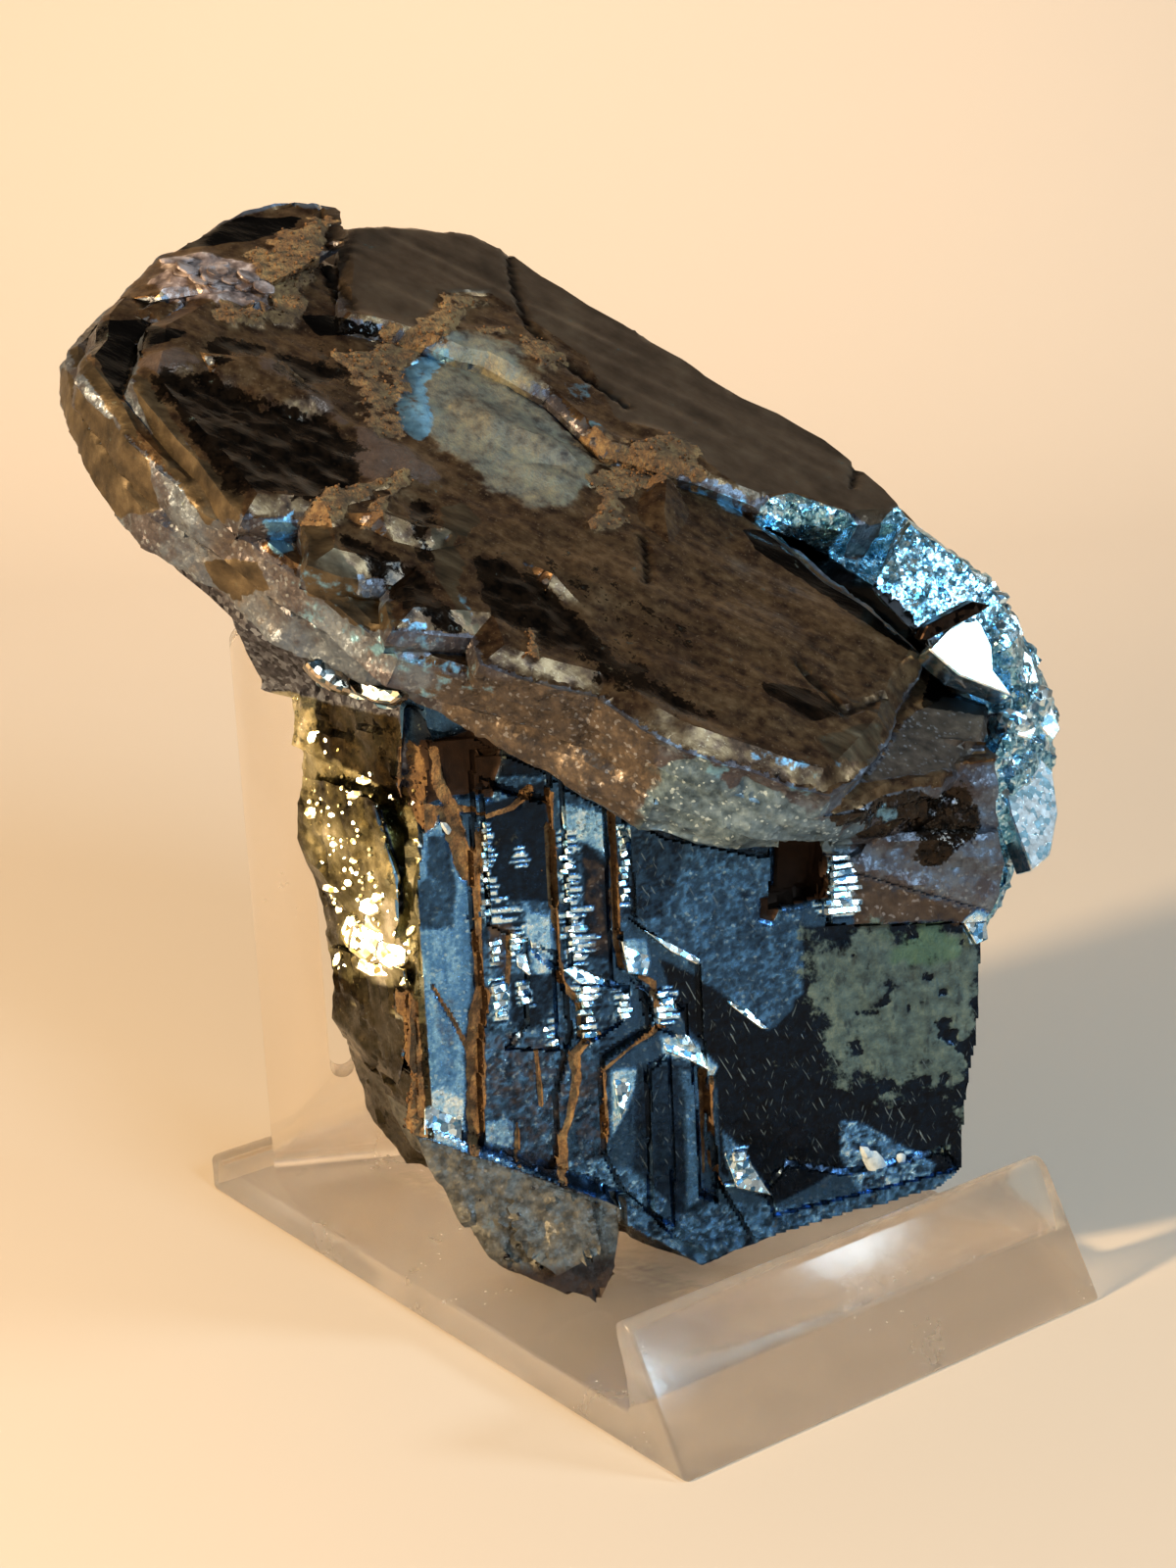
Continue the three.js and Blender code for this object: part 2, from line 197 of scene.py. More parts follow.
def distanceToLine(x, y, line):
    nearest = np.full(len(x), 1e9)
    for (ax, ay), (bx, by) in zip(line[:-1], line[1:]):
        nearest = np.minimum(nearest, sharesOfEdges(x, y, ax, ay, bx, by))
    return nearest


# Meshes

def linked(obj):
    bpy.context.scene.collection.objects.link(obj)
    return obj


def clearSelection():
    bpy.ops.object.select_all(action="DESELECT")


def makeActive(obj):
    clearSelection()
    bpy.context.view_layer.objects.active = obj
    obj.select_set(True)


# One visit to edit mode, with everything selected before each step
def edited(*steps):
    bpy.ops.object.mode_set(mode="EDIT")
    for step in steps:
        bpy.ops.mesh.select_all(action="SELECT")
        step()
    bpy.ops.object.mode_set(mode="OBJECT")


def applyModifier(obj, kind, **settings):
    makeActive(obj)
    modifier = obj.modifiers.new(kind.lower(), kind)
    for name, value in settings.items():
        setattr(modifier, name, value)
    bpy.ops.object.modifier_apply(modifier=modifier.name)


mergeDistance = 0.001 * mm


def copyOfNode(node, name):
    piece = frame["nodes"][node].copy()
    piece.data = piece.data.copy()
    piece.name = piece.data.name = name
    piece.parent = None
    piece.matrix_world = Matrix.Identity(4)
    linked(piece)
    piece.data.materials.clear()
    makeActive(piece)
    edited(lambda: bpy.ops.mesh.remove_doubles(threshold=mergeDistance))
    return piece


def vertexArray(mesh, what="co"):
    values = np.empty(len(mesh.vertices) * 3, np.float32)
    source = mesh.vertices if what == "co" else mesh.vertex_normals
    source.foreach_get("co" if what == "co" else "vector", values)
    return values.reshape(-1, 3).astype(float)


def writeVertices(mesh, points):
    mesh.vertices.foreach_set("co", points.astype(np.float32).ravel())
    mesh.update()


def triangles(mesh):
    return sum(len(face.vertices) - 2 for face in mesh.polygons)


def writeFields(mesh, fields):
    for name, values in fields.items():
        field = mesh.attributes.new(name, "FLOAT", "POINT")
        field.data.foreach_set("value", np.asarray(values).astype(np.float32))


def readField(mesh, name):
    values = np.empty(len(mesh.vertices), np.float32)
    mesh.attributes[name].data.foreach_get("value", values)
    return values


# Placed, turned and scaled in a crystal's frame, all in millimetres
def inCrystal(crystalMatrix, at, turn, size):
    shape = Matrix.Diagonal((*size, 1))
    return Matrix.Scale(mm, 4) @ crystalMatrix @ Matrix.Translation(at) @ turn @ shape


# One mesh out of many copies of a small modelled crystal or crumb
def scatteredCopies(name, model, matrices):
    base = vertexArray(model.data)
    faces = [list(face.vertices) for face in model.data.polygons]
    count = len(base)
    points = []
    corners = []
    for index, matrix in enumerate(matrices):
        points.append(base @ np.array(matrix.to_3x3()).T + np.array(matrix.translation))
        corners += [[vertex + index * count for vertex in face] for face in faces]
    mesh = bpy.data.meshes.new(name)
    mesh.from_pydata(np.concatenate(points).tolist(), [], corners)
    mesh.update()
    piece = linked(bpy.data.objects.new(name, mesh))
    bpy.data.objects.remove(model, do_unlink=True)
    return piece


def turnedTo(normal, spin):
    side = normal.orthogonal().normalized()
    matrix = Matrix((side, normal.cross(side), normal)).transposed()
    return (matrix @ Matrix.Rotation(spin, 3, "Z")).to_4x4()


def finishPiece(piece, material, smoothAngle=None):
    piece.data.materials.clear()
    piece.data.materials.append(material)
    makeActive(piece)
    if smoothAngle:
        bpy.ops.object.shade_smooth_by_angle(angle=math.radians(smoothAngle))
    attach(piece, "root")


# The stone

stone = {
    "octreeDepth": 8,
    "gridScale": 0.668,
    "sunk": 0.4,             # how deep the body lies below the wall's skin
    "restLevel": 3.26,       # just above the stand's floor
    "uprightFace": -29.95,   # just in front of the upright
    "uprightTop": 55.6,
    "uprightSide": -23.5,
    "creaseAngle": 28,
}

# Finishes on the cap, each an outline in its frame (along, to the rear) and how strong it is there
capZones = {
    "ink": [
        ([(27.9, 26.8), (29.8, 25.2), (34.5, 26), (33.2, 24.2), (30, 22.6), (28.1, 21.6)], 1.0),
        ([(14.7, 11), (18.9, 13.3), (22.8, 12), (19.9, 9.3), (15.6, 9.6)], 0.55),
    ],
    "black": [
        ([(-2, 9), (4, 7.5), (10, 5), (14, 4), (6, 2.6), (-2, 3)], 0.7),
        ([(-30, 28.6), (-24, 27), (-24, 22), (-29, 20), (-34, 25)], 0.45),
        ([(-2, 16), (8, 14), (12, 8), (2, 9), (-6, 12)], 0.4),
    ],
    "taupe": [
        ([(-33, 20), (-28, 20.4), (-24.6, 17.4), (-19, 18), (-15, 15.6), (-20, 12), (-24, 18),
          (-31, 17.4)], 0.8),
    ],
    "soil": [
        ([(-27.7, 26), (-26, 30.8), (-24.3, 31.8), (-22.1, 27.8), (-19.6, 22), (-18.1, 18.7),
          (-21.2, 17.8), (-24.5, 20.4)], 0.62),
        ([(-23.1, 34.3), (-23.8, 39.2), (-20.9, 42.4), (-18.6, 41), (-20.6, 38.6), (-20.8, 35.4),
          (-16, 37.5), (-13.3, 34.6), (-10.4, 36.6), (-10.7, 39), (-17.5, 39), (-21.1, 34.4),
          (-22.4, 31.5)], 0.66),
        ([(-39.4, 32.2), (-37.7, 34.7), (-36.9, 39.8), (-35.1, 40.9), (-33.4, 34.6), (-32.9, 28),
          (-33.9, 27.1), (-36.1, 29.8)], 0.85),
        ([(-37.9, 25), (-35.4, 28.1), (-34.2, 25.9), (-36.8, 23)], 0.75),
        ([(-4.2, 25.4), (-2.7, 30.6), (-0.3, 34.0), (4.2, 33.6), (4.5, 32.4), (2.2, 30.6), (-1.3, 27.0),
          (-1.1, 21.4), (-2.4, 19.8)], 0.95),
        ([(-9.5, 29.6), (-5, 31), (-1, 33.6), (-3, 30), (-4.6, 27.6)], 0.6),
        ([(-3.4, 48.2), (-2.4, 50.2), (1.2, 50.6), (1.6, 49.4)], 0.8),
    ],
    "bronze": [([(20.3, 7.7), (25.3, 14), (26.3, 9.8), (22.6, 5.9)], 0.55)],
    "pale": [
        ([(-19.5, 22.4), (-21.5, 29), (-20.6, 33.2), (-19.4, 36.6), (-15, 37.0), (-11.8, 33.3),
          (-5.7, 28.4), (-4.2, 25.9), (-5.5, 21.2), (-8.1, 18.9), (-14.9, 19.1), (-16.8, 19.8)], 1.0),
    ],
    "azure": [
        ([(-22.4, 28.9), (-21.5, 33.8), (-20, 32.5), (-21, 27.5)], 1.0),
        ([(-10.9, 34.8), (-8.9, 36.6), (-7.7, 33.7), (-9.7, 33.3)], 0.9),
        ([(-20.9, 21.5), (-18.6, 23.8), (-17.8, 21.5), (-20, 20.1)], 1.0),
        ([(2.6, 30.7), (4.9, 31.5), (8.1, 31.5), (8.1, 31.1), (4.9, 30.9)], 0.9),
        ([(16.4, 3.1), (20.4, 4.6), (24.4, 8.2), (24.8, 7.2), (20, 3.2), (16.4, 2.2)], 0.7),
        ([(-33.1, 30.3), (-30.2, 31.7), (-29.5, 28.9), (-31.9, 28)], 0.35),
    ],
    "mica": [
        ([(-44.8, 26.3), (-43.2, 29.7), (-41.1, 31.4), (-37.4, 30.9), (-34.9, 28.3), (-37.7, 25),
          (-42.8, 24.8)], 1.0),
    ],
    "cluster": [
        ([(8.8, 32.2), (11.1, 34.8), (18.6, 36.6), (20.8, 42.4), (28, 45), (44, 40), (42, 20),
          (34.6, 27.2), (29.6, 26.6), (26.4, 27.4), (21.0, 31.4), (15.4, 32.0), (11.7, 31.2)], 1.0),
    ],
    "rear": [
        ([(-36, 42), (-33.6, 37.6), (-28.8, 30.8), (-23.3, 32.6), (-23.6, 39), (-20, 42.6), (-10, 40),
          (-5, 33), (-1, 34.6), (8.2, 31.9), (11, 35.2), (18.7, 37), (21.4, 43), (16, 52), (-24, 56)],
          1.0),
    ],
    "mauve": [([(29.6, 24.1), (34.1, 26), (34.7, 25.3), (32.7, 16.5), (25.9, 9.2), (27.6, 20.5)], 1.0)],
}
# Cracks on the cap, as lines in its frame
capCracks = [
    [(1.5, 21.4), (2.6, 19.2), (3.4, 16.3)],
    [(17.2, 15.4), (19.3, 14.1), (22.1, 12.4), (23.4, 14.4), (24.6, 16.9)],
    [(-20.7, 49.7), (-18.3, 44.6), (-15.4, 40.3), (-11.4, 37.8), (-4.8, 35.8)],
    [(15.5, 39.9), (15.1, 43.8), (20.9, 42.1)],
    [(-36, 41.6), (-33.6, 37.6), (-28.8, 31)],
]

# Brown earth in the wall's crevices and its crusts, in the wall's frame: along, up
wallSoil = [
    ([(-19.8, 43.6), (-20.4, 38.8), (-20.5, 29.5)], 0.42),
    ([(-20.4, 29.5), (-21, 27.4), (-21.2, 23), (-21.6, 18.6), (-22, 14.2)], 0.85),
    ([(-25.6, 40.4), (-26.0, 32.3), (-26.4, 24.6), (-26.9, 17.4)], 0.4),
    ([(-22.9, 50.2), (-22.6, 47.2), (-21.8, 45.4)], 0.6),
    ([(-25.4, 50), (-24.8, 46.8), (-24.0, 44.6)], 1.0),
    ([(-24.4, 45.6), (-21.8, 45.2)], 0.6),
    ([(-21.6, 45.4), (-19.4, 45.0), (-17.2, 45.6), (-15.6, 46.8)], 0.32),
    ([(-22.0, 44.6), (-21.4, 42.0), (-20.9, 39.6)], 0.8),
    ([(-21.6, 43.0), (-20.6, 40.6), (-20.4, 38.0)], 0.5),
    ([(-14.0, 46.5), (-14.1, 37.2), (-13.9, 30.2), (-12.6, 28.6), (-12.4, 25.6)], 0.34),
    ([(-12.4, 25.6), (-11.2, 25.6), (-13.1, 24.0), (-13.0, 21.8), (-13.7, 18.6), (-14.5, 16.6),
      (-14.6, 12.8)], 0.5),
    ([(-9.1, 45), (-9.2, 33.4), (-8.9, 31.4), (-6.4, 30), (-6.2, 27)], 0.3),
    ([(-6.0, 26.2), (-10.8, 22.7), (-11.0, 16.2)], 0.3),
    ([(-17.9, 34.8), (-18.2, 30.2)], 0.22),
    ([(-16.2, 24.2), (-16.0, 19.2)], 0.24),
    ([(-18.1, 17.8), (-18.2, 14.4)], 0.2),
    ([(-24.4, 30.4), (-22.6, 26.6), (-21.8, 24.4)], 0.2),
    ([(-2.6, 21.5), (-2.7, 12.2)], 0.2),
    ([(-2.0, 21.4), (-2.1, 13.0), (-1.2, 10.8)], 0.22),
]

# How bright the blue steel of the wall is, from black to nearly white, in that frame: partly its own darker
# and paler columns, partly painted highlights in the brightest zones
wallTonesAndHighlights = [
    ([(5, 34), (22, 34), (22, 12), (12, 14), (5, 20)], 0.07, 0.1),
    ([(-22, 49.5), (-21, 46.2), (-17.4, 46), (-14, 48), (-14, 52), (-22, 52)], 0.08, 0.1),
    ([(-8.8, 50), (2.6, 50), (6, 33.7), (5.9, 28.2), (2.9, 25.4), (-1.5, 28.9), (-5.6, 33), (-9, 35.2)],
      0.36, 0.3),
    ([(-9, 50), (-4, 50), (-3.4, 41), (-5.6, 36), (-9, 36)], 0.2, 0.2),
    ([(-5.9, 32.1), (-1.5, 29.4), (2.9, 25.0), (6.9, 28.4), (7.3, 20.8), (11.5, 17.6), (20.4, 18.6),
      (19.8, 9), (8.5, 12.2), (2.8, 9.4), (-1.5, 12.8), (-1.6, 22.7), (-4.5, 27.2)], 0.05, 0.08),
    ([(-26.9, 44.5), (-21, 44.1), (-20.6, 38.5), (-21.2, 29.4), (-21.9, 25.3), (-22.6, 14.4),
      (-27, 16.1)], 0.6, 0.12),
    ([(-24, 43.3), (-22.3, 43.1), (-21.9, 39.3), (-22.3, 35.3), (-25, 35.2), (-25.4, 38.6),
      (-24.2, 39.8)], 0.3, 0.2),
    ([(-25.9, 20.2), (-24.1, 21.4), (-22.4, 20), (-22.6, 15.6), (-26.3, 17)], 0.86, 0.2),
    ([(-20.4, 48), (-13.9, 48), (-14.2, 29.1), (-13, 28.3), (-13.1, 21.7), (-14.7, 16.3), (-15, 12),
      (-21, 13.6), (-20.2, 27.6)], 0.36, 0.4),
    ([(-19.5, 46), (-14.2, 47.5), (-14.3, 37.4), (-19.5, 37.9)], 0.1, 0.1),
    ([(-16.6, 36.8), (-14.3, 36.3), (-14.4, 31.8), (-15, 30.2), (-16.1, 31.6), (-16.4, 34.4)],
      0.78, 0.2),
    ([(-19.4, 30.8), (-18.1, 29.5), (-18.2, 26.8), (-19.5, 27.2)], 0.75, 0.5),
    ([(-18, 31), (-14.4, 31), (-14.6, 28.2), (-16.4, 26.2), (-18, 27)], 0.16, 0.2),
    ([(-20.7, 18.4), (-18.5, 18.1), (-18.7, 13.8), (-20.9, 14.6)], 0.68, 0.3),
    ([(-13.4, 48), (-9.4, 46), (-9.7, 31.8), (-8.7, 29), (-10.3, 22.6), (-10.7, 14), (-13.7, 13),
      (-12.9, 25.2), (-12.5, 28.8), (-13.8, 30.8)], 0.3, 0.4),
    ([(-13.2, 45.9), (-9.4, 44.8), (-9.6, 41), (-11.3, 42.4), (-13.2, 43.4)], 0.78, 0.15),
    ([(-11.7, 42.4), (-9.5, 40.5), (-9.7, 32.3), (-11.8, 32.5)], 0.1, 0.1),
    ([(-12.6, 23.6), (-11, 23.4), (-11, 14), (-13.6, 13.4), (-13.0, 19)], 0.3, 0.35),
    ([(-8.9, 33.9), (-6.9, 33.9), (-6.5, 31.8), (-7, 30.5), (-8.7, 31)], 0.7, 0.15),
    ([(-9.5, 29), (-8.2, 29.3), (-8.3, 26.9), (-9.6, 27)], 0.6, 0.4),
    ([(-6, 25.2), (-3.8, 25.2), (-1.4, 22.4), (-2, 21.4), (-3.9, 22.8), (-5.8, 23.7)], 0.82, 0.4),
    ([(-10.2, 22.6), (-8.1, 22.5), (-8.4, 20.7), (-9.3, 18.3), (-10.4, 16.7)], 0.86, 0.3),
    ([(-8.1, 22.9), (-2.6, 22.2), (-3, 11.3), (-1.4, 9.8), (-4.5, 7.0), (-5.7, 9.8), (-8.8, 12.3)],
      0.17, 0.1),
    ([(-4.6, 22.3), (-2.6, 21.5), (-2.8, 10.4), (-4.4, 9.4), (-4.2, 19.9)], 0.45, 0.1),
    ([(-1.3, 16.8), (0.3, 14.9), (2.8, 10.2), (-0.5, 11.4), (-1.2, 14.3)], 0.5, 0.3),
    ([(7.7, 38.9), (9.8, 40.7), (11.4, 39.9), (9.7, 36.4), (7.5, 36.9)], 0.6, 0.4),
    ([(19, 33.7), (21.5, 35.6), (21.9, 31.7), (20, 31.2)], 1.0, 0.1),
    ([(16.6, 38.3), (18.8, 38.2), (18.6, 35.8), (16.3, 35.8)], 0.75, 0.5),
    ([(8.7, 16.4), (10.2, 16.2), (12.1, 15.1), (16.8, 11.8), (16.1, 9.6), (10.7, 9.4), (8.6, 13)],
      0.5, 0.7),
    ([(-12, 9), (-4, 9), (2, 8), (8, 9), (20, 10), (20, 0), (-12, 0)], 0.4, 0.5),
    ([(-5.4, 8.6), (-1.2, 10.1), (3.4, 9.4), (10.1, 9.8), (19.8, 11.2), (14, 4), (-4, 3)], 0.42, 0.45),
    ([(-14, 14.6), (-9, 13.6), (-6, 10.6), (-8, 6), (-14, 9)], 0.5, 0.5),
    ([(4.2, 42.4), (8.8, 41.6), (7.8, 36.2), (4.1, 35.7)], 0.04, 0.04),
]
wallZones = {
    "crust": [
        ([(6.3, 33), (10.2, 33.3), (19.6, 32.8), (21.2, 29.5), (21.2, 27.5), (20.4, 22.7), (19.7, 18.6),
          (14.5, 19.1), (12.4, 18.6), (9.6, 20.2), (8.0, 22.0), (7.2, 24.0), (7.0, 26.1), (5.9, 28.2)],
          1.0),
        ([(18.4, 18.3), (21.2, 18.2), (20.8, 12.6), (18.3, 13.7)], 0.95),
    ],
    "moss": [([(13.4, 33.2), (18.3, 33.0), (18, 30.2), (13.7, 30.2)], 1.0)],
    "umber": [
        ([(-24.8, 51), (-24.2, 45.6), (-22.4, 46.4), (-18.6, 46.6), (-17.6, 49), (-18, 52)], 0.9),
        ([(4.3, 42.4), (8.7, 41.5), (7.7, 36.2), (4.1, 35.9), (3.6, 34.7), (2.5, 35), (2.6, 36.7),
          (4.2, 36.9)], 1.0),
        ([(-13.6, 51), (-8.8, 46.4), (-7.6, 44.8), (-5, 50)], 0.6),
    ],
    "mauve": [
        ([(10.1, 41.7), (22.8, 42.4), (22.6, 37), (21.3, 36), (19, 33.5), (10, 34)], 1.0),
        ([(-19.5, 36), (-17.9, 35.9), (-18, 30.8), (-19.5, 32.3)], 0.7),
        ([(-20, 26), (-13.3, 25.4), (-14.3, 16.6), (-15, 12.8), (-21, 14.6)], 0.42),
        ([(-11.8, 41.5), (-9.6, 40.5), (-9.7, 33), (-11.6, 33)], 0.5),
        ([(-12.8, 24.4), (-10.8, 23.4), (-11.2, 14), (-13.8, 13.4)], 0.45),
        ([(-24.8, 30), (-22.4, 29.6), (-22.6, 21), (-24.6, 22)], 0.4),
        ([(8.8, 15), (13, 13.4), (16, 10.4), (10, 9.6)], 0.3),
    ],
}

# Growth steps on the wall, as ladders of bright ledges: where along and out of the wall, how wide, from
# which height to which, and how many rungs
growthLadders = [
    (-19.3, -2.5, 0.8, 38.6, 44.4, 11), (-18.7, -2.5, 2.2, 36.3, 37.9, 2),
    (-16.6, -2.6, 1.3, 41.0, 42.0, 2), (-17.0, -2.4, 0.9, 28.4, 30.2, 3),
    (-19.0, -2.5, 1.0, 32.2, 34.2, 3), (-14.9, -2.5, 0.8, 24.4, 27.0, 4),
    (-9.0, -0.8, 1.1, 26.9, 29.2, 4), (-17.3, -2.4, 1.3, 32.6, 35.4, 5),
    (-12.8, -1.4, 1.1, 37.2, 43.2, 10), (-12.4, -1.3, 1.9, 32.4, 36.6, 7),
    (-11.9, -1.4, 1.5, 25.3, 29.9, 7), (-8.4, -0.6, 0.7, 37.2, 43.4, 10),
    (-5.6, -0.5, 1.5, 26.8, 29.2, 4), (9.1, 1.2, 2.8, 35.2, 40.3, 8), (-18.9, -2.4, 1.2, 27.4, 30.4, 4),
    (0.2, 0.1, 1.6, 12.0, 14.6, 3),
]

# Painted shade on the gold-coloured left side, in its dark recess at the top, a ribbed band and the lower
# part: outward place, up
goldShadeZones = [
    ([(-14.5, 56), (-3, 56), (-2.6, 46.4), (-6.4, 45.4), (-9.4, 47.4), (-12.4, 48.4)], 1.0),
    ([(-14.2, 28.5), (-4.0, 30.7), (-4.6, 27.3), (-13.4, 25.6)], 0.7),
    ([(-19, 27), (-14, 25.8), (-3, 27.4), (-2, 18), (-2, 8), (-19, 8)], 1.0),
    ([(-18, 44), (-14, 44), (-14, 30), (-18, 30)], 0.5),
]

# Tints of the cap's broken rim by place: along, out of the top
rimZones = {
    "mauve": [
        ([(-2, 1), (10, 0.5), (11.5, -5), (9.5, -14), (-6, -14), (-8, -4)], 0.8),
        ([(-30, 1), (-24, 1), (-20, -10), (-30, -14)], 0.45),
    ],
    "sage": [([(10.6, -2.2), (17.6, -2.0), (27, -3.4), (27.4, -12), (17.9, -15), (11, -14)], 0.9)],
    "black": [([(27.4, -2.6), (33, -4.0), (37, -7.0), (34.6, -10), (28.2, -8.6), (24, -3.4)], 0.9)],
    "azure": [
        ([(-24, 0), (-6, 0), (-2, -3.6), (-8, -7), (-20, -7)], 0.55),
        ([(9.8, -0.4), (16.4, 0.1), (24.4, -0.4), (24.4, -2.2), (16.4, -2.2), (9.8, -2.4)], 0.75),
        ([(26.6, -4.6), (29, -4.4), (29.4, -7), (27, -7)], 0.8),
    ],
}


# Finishes on the cap's front left, each an outline as seen from there
sightZones = {
    "bronze": [
        [(40, 400), (60, 370), (80, 393), (113, 430), (150, 470), (163, 520), (120, 527), (67, 457)],
        [(67, 343), (90, 367), (127, 413), (150, 461), (120, 430), (80, 375)],
        [(131, 381), (150, 387), (200, 463), (250, 508), (247, 528), (210, 537), (167, 473)],
        [(207, 573), (260, 573), (273, 600), (240, 613), (220, 600)],
        [(307, 533), (333, 540), (367, 587), (360, 627), (313, 607), (307, 573)],
        [(440, 533), (473, 573), (467, 600), (493, 653), (473, 633), (440, 573)],
        [(327, 600), (400, 613), (400, 643), (360, 640), (327, 613)],
        [(450, 520), (473, 512), (491, 533), (473, 550), (453, 540)],
        [(620, 667), (640, 687), (640, 700), (613, 680)],
    ],
    "ink": [
        [(77, 332), (140, 328), (193, 343), (147, 357), (132, 379), (125, 415), (97, 367)],
        [(163, 247), (193, 230), (260, 220), (307, 220), (293, 237), (240, 247), (173, 257)],
        [(307, 319), (340, 323), (403, 337), (403, 345), (327, 339)],
        [(756, 534), (790, 540), (826, 556), (872, 586), (908, 606), (934, 628), (953, 664), (955, 680),
          (896, 647), (858, 617), (816, 586), (770, 558)],
    ],
    "black": [
        [(150, 381), (193, 375), (260, 393), (307, 413), (343, 433), (377, 460), (320, 503), (253, 508),
          (230, 493), (197, 447)],
        [(203, 357), (240, 341), (270, 353), (240, 367), (215, 368)],
        [(277, 363), (300, 353), (333, 370), (343, 397), (307, 397), (283, 380)],
        [(337, 537), (373, 553), (413, 573), (447, 607), (477, 653), (420, 627), (373, 587)],
        [(477, 570), (507, 573), (567, 600), (613, 660), (573, 660), (507, 627)],
        [(413, 513), (443, 513), (443, 573), (427, 573), (413, 547)],
        [(240, 453), (320, 467), (373, 467), (353, 507), (293, 513)],
    ],
    "soil": [
        [(303, 528), (340, 498), (417, 483), (410, 493), (353, 513), (353, 533), (307, 535)],
        [(403, 488), (417, 493), (373, 550), (363, 541)],
        [(340, 360), (403, 353), (440, 323), (477, 310), (477, 327), (413, 375), (387, 375),
          (350, 375)],
        [(333, 233), (323, 273), (283, 313), (273, 300), (307, 240)],
        [(540, 640), (548, 640), (550, 673), (540, 667)],
    ],
    "azure": [
        [(270, 533), (300, 520), (301, 560), (275, 568)],
        [(407, 621), (440, 633), (433, 648), (403, 637)],
        [(403, 380), (453, 350), (467, 367), (433, 393), (440, 440), (427, 460), (403, 433)],
        [(467, 600), (480, 613), (500, 653), (480, 640)],
        [(360, 660), (413, 667), (507, 687), (413, 677)],
        [(560, 407), (587, 413), (627, 447), (600, 433)],
    ],
    "taupe": [
        [(140, 370), (173, 355), (203, 360), (215, 375), (160, 383)],
        [(343, 463), (413, 467), (453, 493), (387, 480)],
    ],
    "mica": [[(160, 267), (207, 261), (267, 272), (275, 307), (240, 307), (173, 285)]],
}


# How soft and how ragged their edges are, in pixels
sightEdges = {"black": (9, 7), "soil": (5, 6), "azure": (5, 6), "taupe": (7, 6), "other": (2, 1.5)}
# And those of some of the wall's, in millimetres
wallEdges = {"crust": (2.2, 1.3), "moss": (0.4, 1.2), "umber": (0.4, 0.2)}


def zoneField(x, y, zones, points, soft, ragged, seed):
    field = np.zeros(len(x))
    wobble = ragged * layeredNoise(points, 2.2, seed)
    for outline, strength in zones:
        field = np.maximum(field, strength * ramp(depthInside(x, y, outline) + wobble, -soft, soft))
    return field


def wallToneAndHighlightField(s, z, points):
    tint = 0.4 * facetNoise(points, 0.8, 91)[1] + 0.9 * facetNoise(points, 0.34, 95)[1] - 0.65
    tone = np.full(len(s), 0.32)
    wobble = 0.12 * layeredNoise(points, 1.4, 93)
    for outline, value, mottle in wallTonesAndHighlights:
        share = ramp(depthInside(s, z, outline) + wobble, -0.14, 0.14)
        tone = tone * (1 - share) + (value + mottle * tint) * share
    ragged = layeredNoise(np.stack([s / 3, z, z * 0], axis=1), 0.9, 97, 2)
    # Painted highlights: each ladder's rungs painted bright, with dark gaps between them
    for along, out, width, low, high, rungs in growthLadders:
        here = (np.abs(s - along) < width * (0.55 + 0.45 * ragged)) & (z > low - 0.5) & (z < high + 0.4)
        rung = np.modf((z + 0.1 * ragged) / ((high - low) / rungs) + 50)[0]
        tone = np.where(here, np.where(rung < 0.6, 0.9, 0.16), tone)
    return np.clip(tone, 0, 1)


def soilLines(x, y, lines, points, seed):
    field = np.full(len(x), -1.0)
    for index, (line, width) in enumerate(lines):
        reach = 0.8 * width * (1 + 0.5 * layeredNoise(points, 2.6, seed + index))
        field = np.maximum(field, 1 - distanceToLine(x, y, line) / np.maximum(reach, 0.12))
    return np.clip(field + 0.5, 0, 1)


# Where one region of the stone passes into the next, each from and to, in millimetres of its own frame
edges = {
    "capBottom": (-13.5, -11.5), "capFace": (-4.6, -3.2), "capUpper": (-5, -3.5),
    "proud": (0.9, 1.5), "proudAlong": (15, 17), "proudBack": (33, 35), "wallDepth": (-6.5, -5.2),
    "sideDepth": (-7, -6), "sideLeft": (-25.6, -25.0), "footLeft": (-11, -9.6), "footTop": (12, 14),
    "footDepth": (-12, -9), "fangTop": (-0.8, 0.2), "fangRight": (-9.8, -8.8),
    "fangDepth": (-13, -10), "fangTip": (5.5, 10), "goldRight": (-25.4, -24.6),
    "besideRight": (-26.0, -25.4), "goldDepth": (-21, -16.5), "goldTop": (51.5, 54),
    "clusterLeft": (21.4, 22.6), "clusterFront": (-4.6, -3.6), "clusterFoot": (24, 28),
    "clusterBottom": (-8, -6), "ruggedLeft": (23.0, 25.0), "tipRight": (-25, -20),
    "navyLeft": (-9, -7), "navyFoot": (11, 14), "seamRight": (-26.0, -25.2),
    "rearDepth": (-24, -14),
}


def past(edge, values):
    return ramp(values, *edges[edge])


def before(edge, values):
    return 1 - past(edge, values)


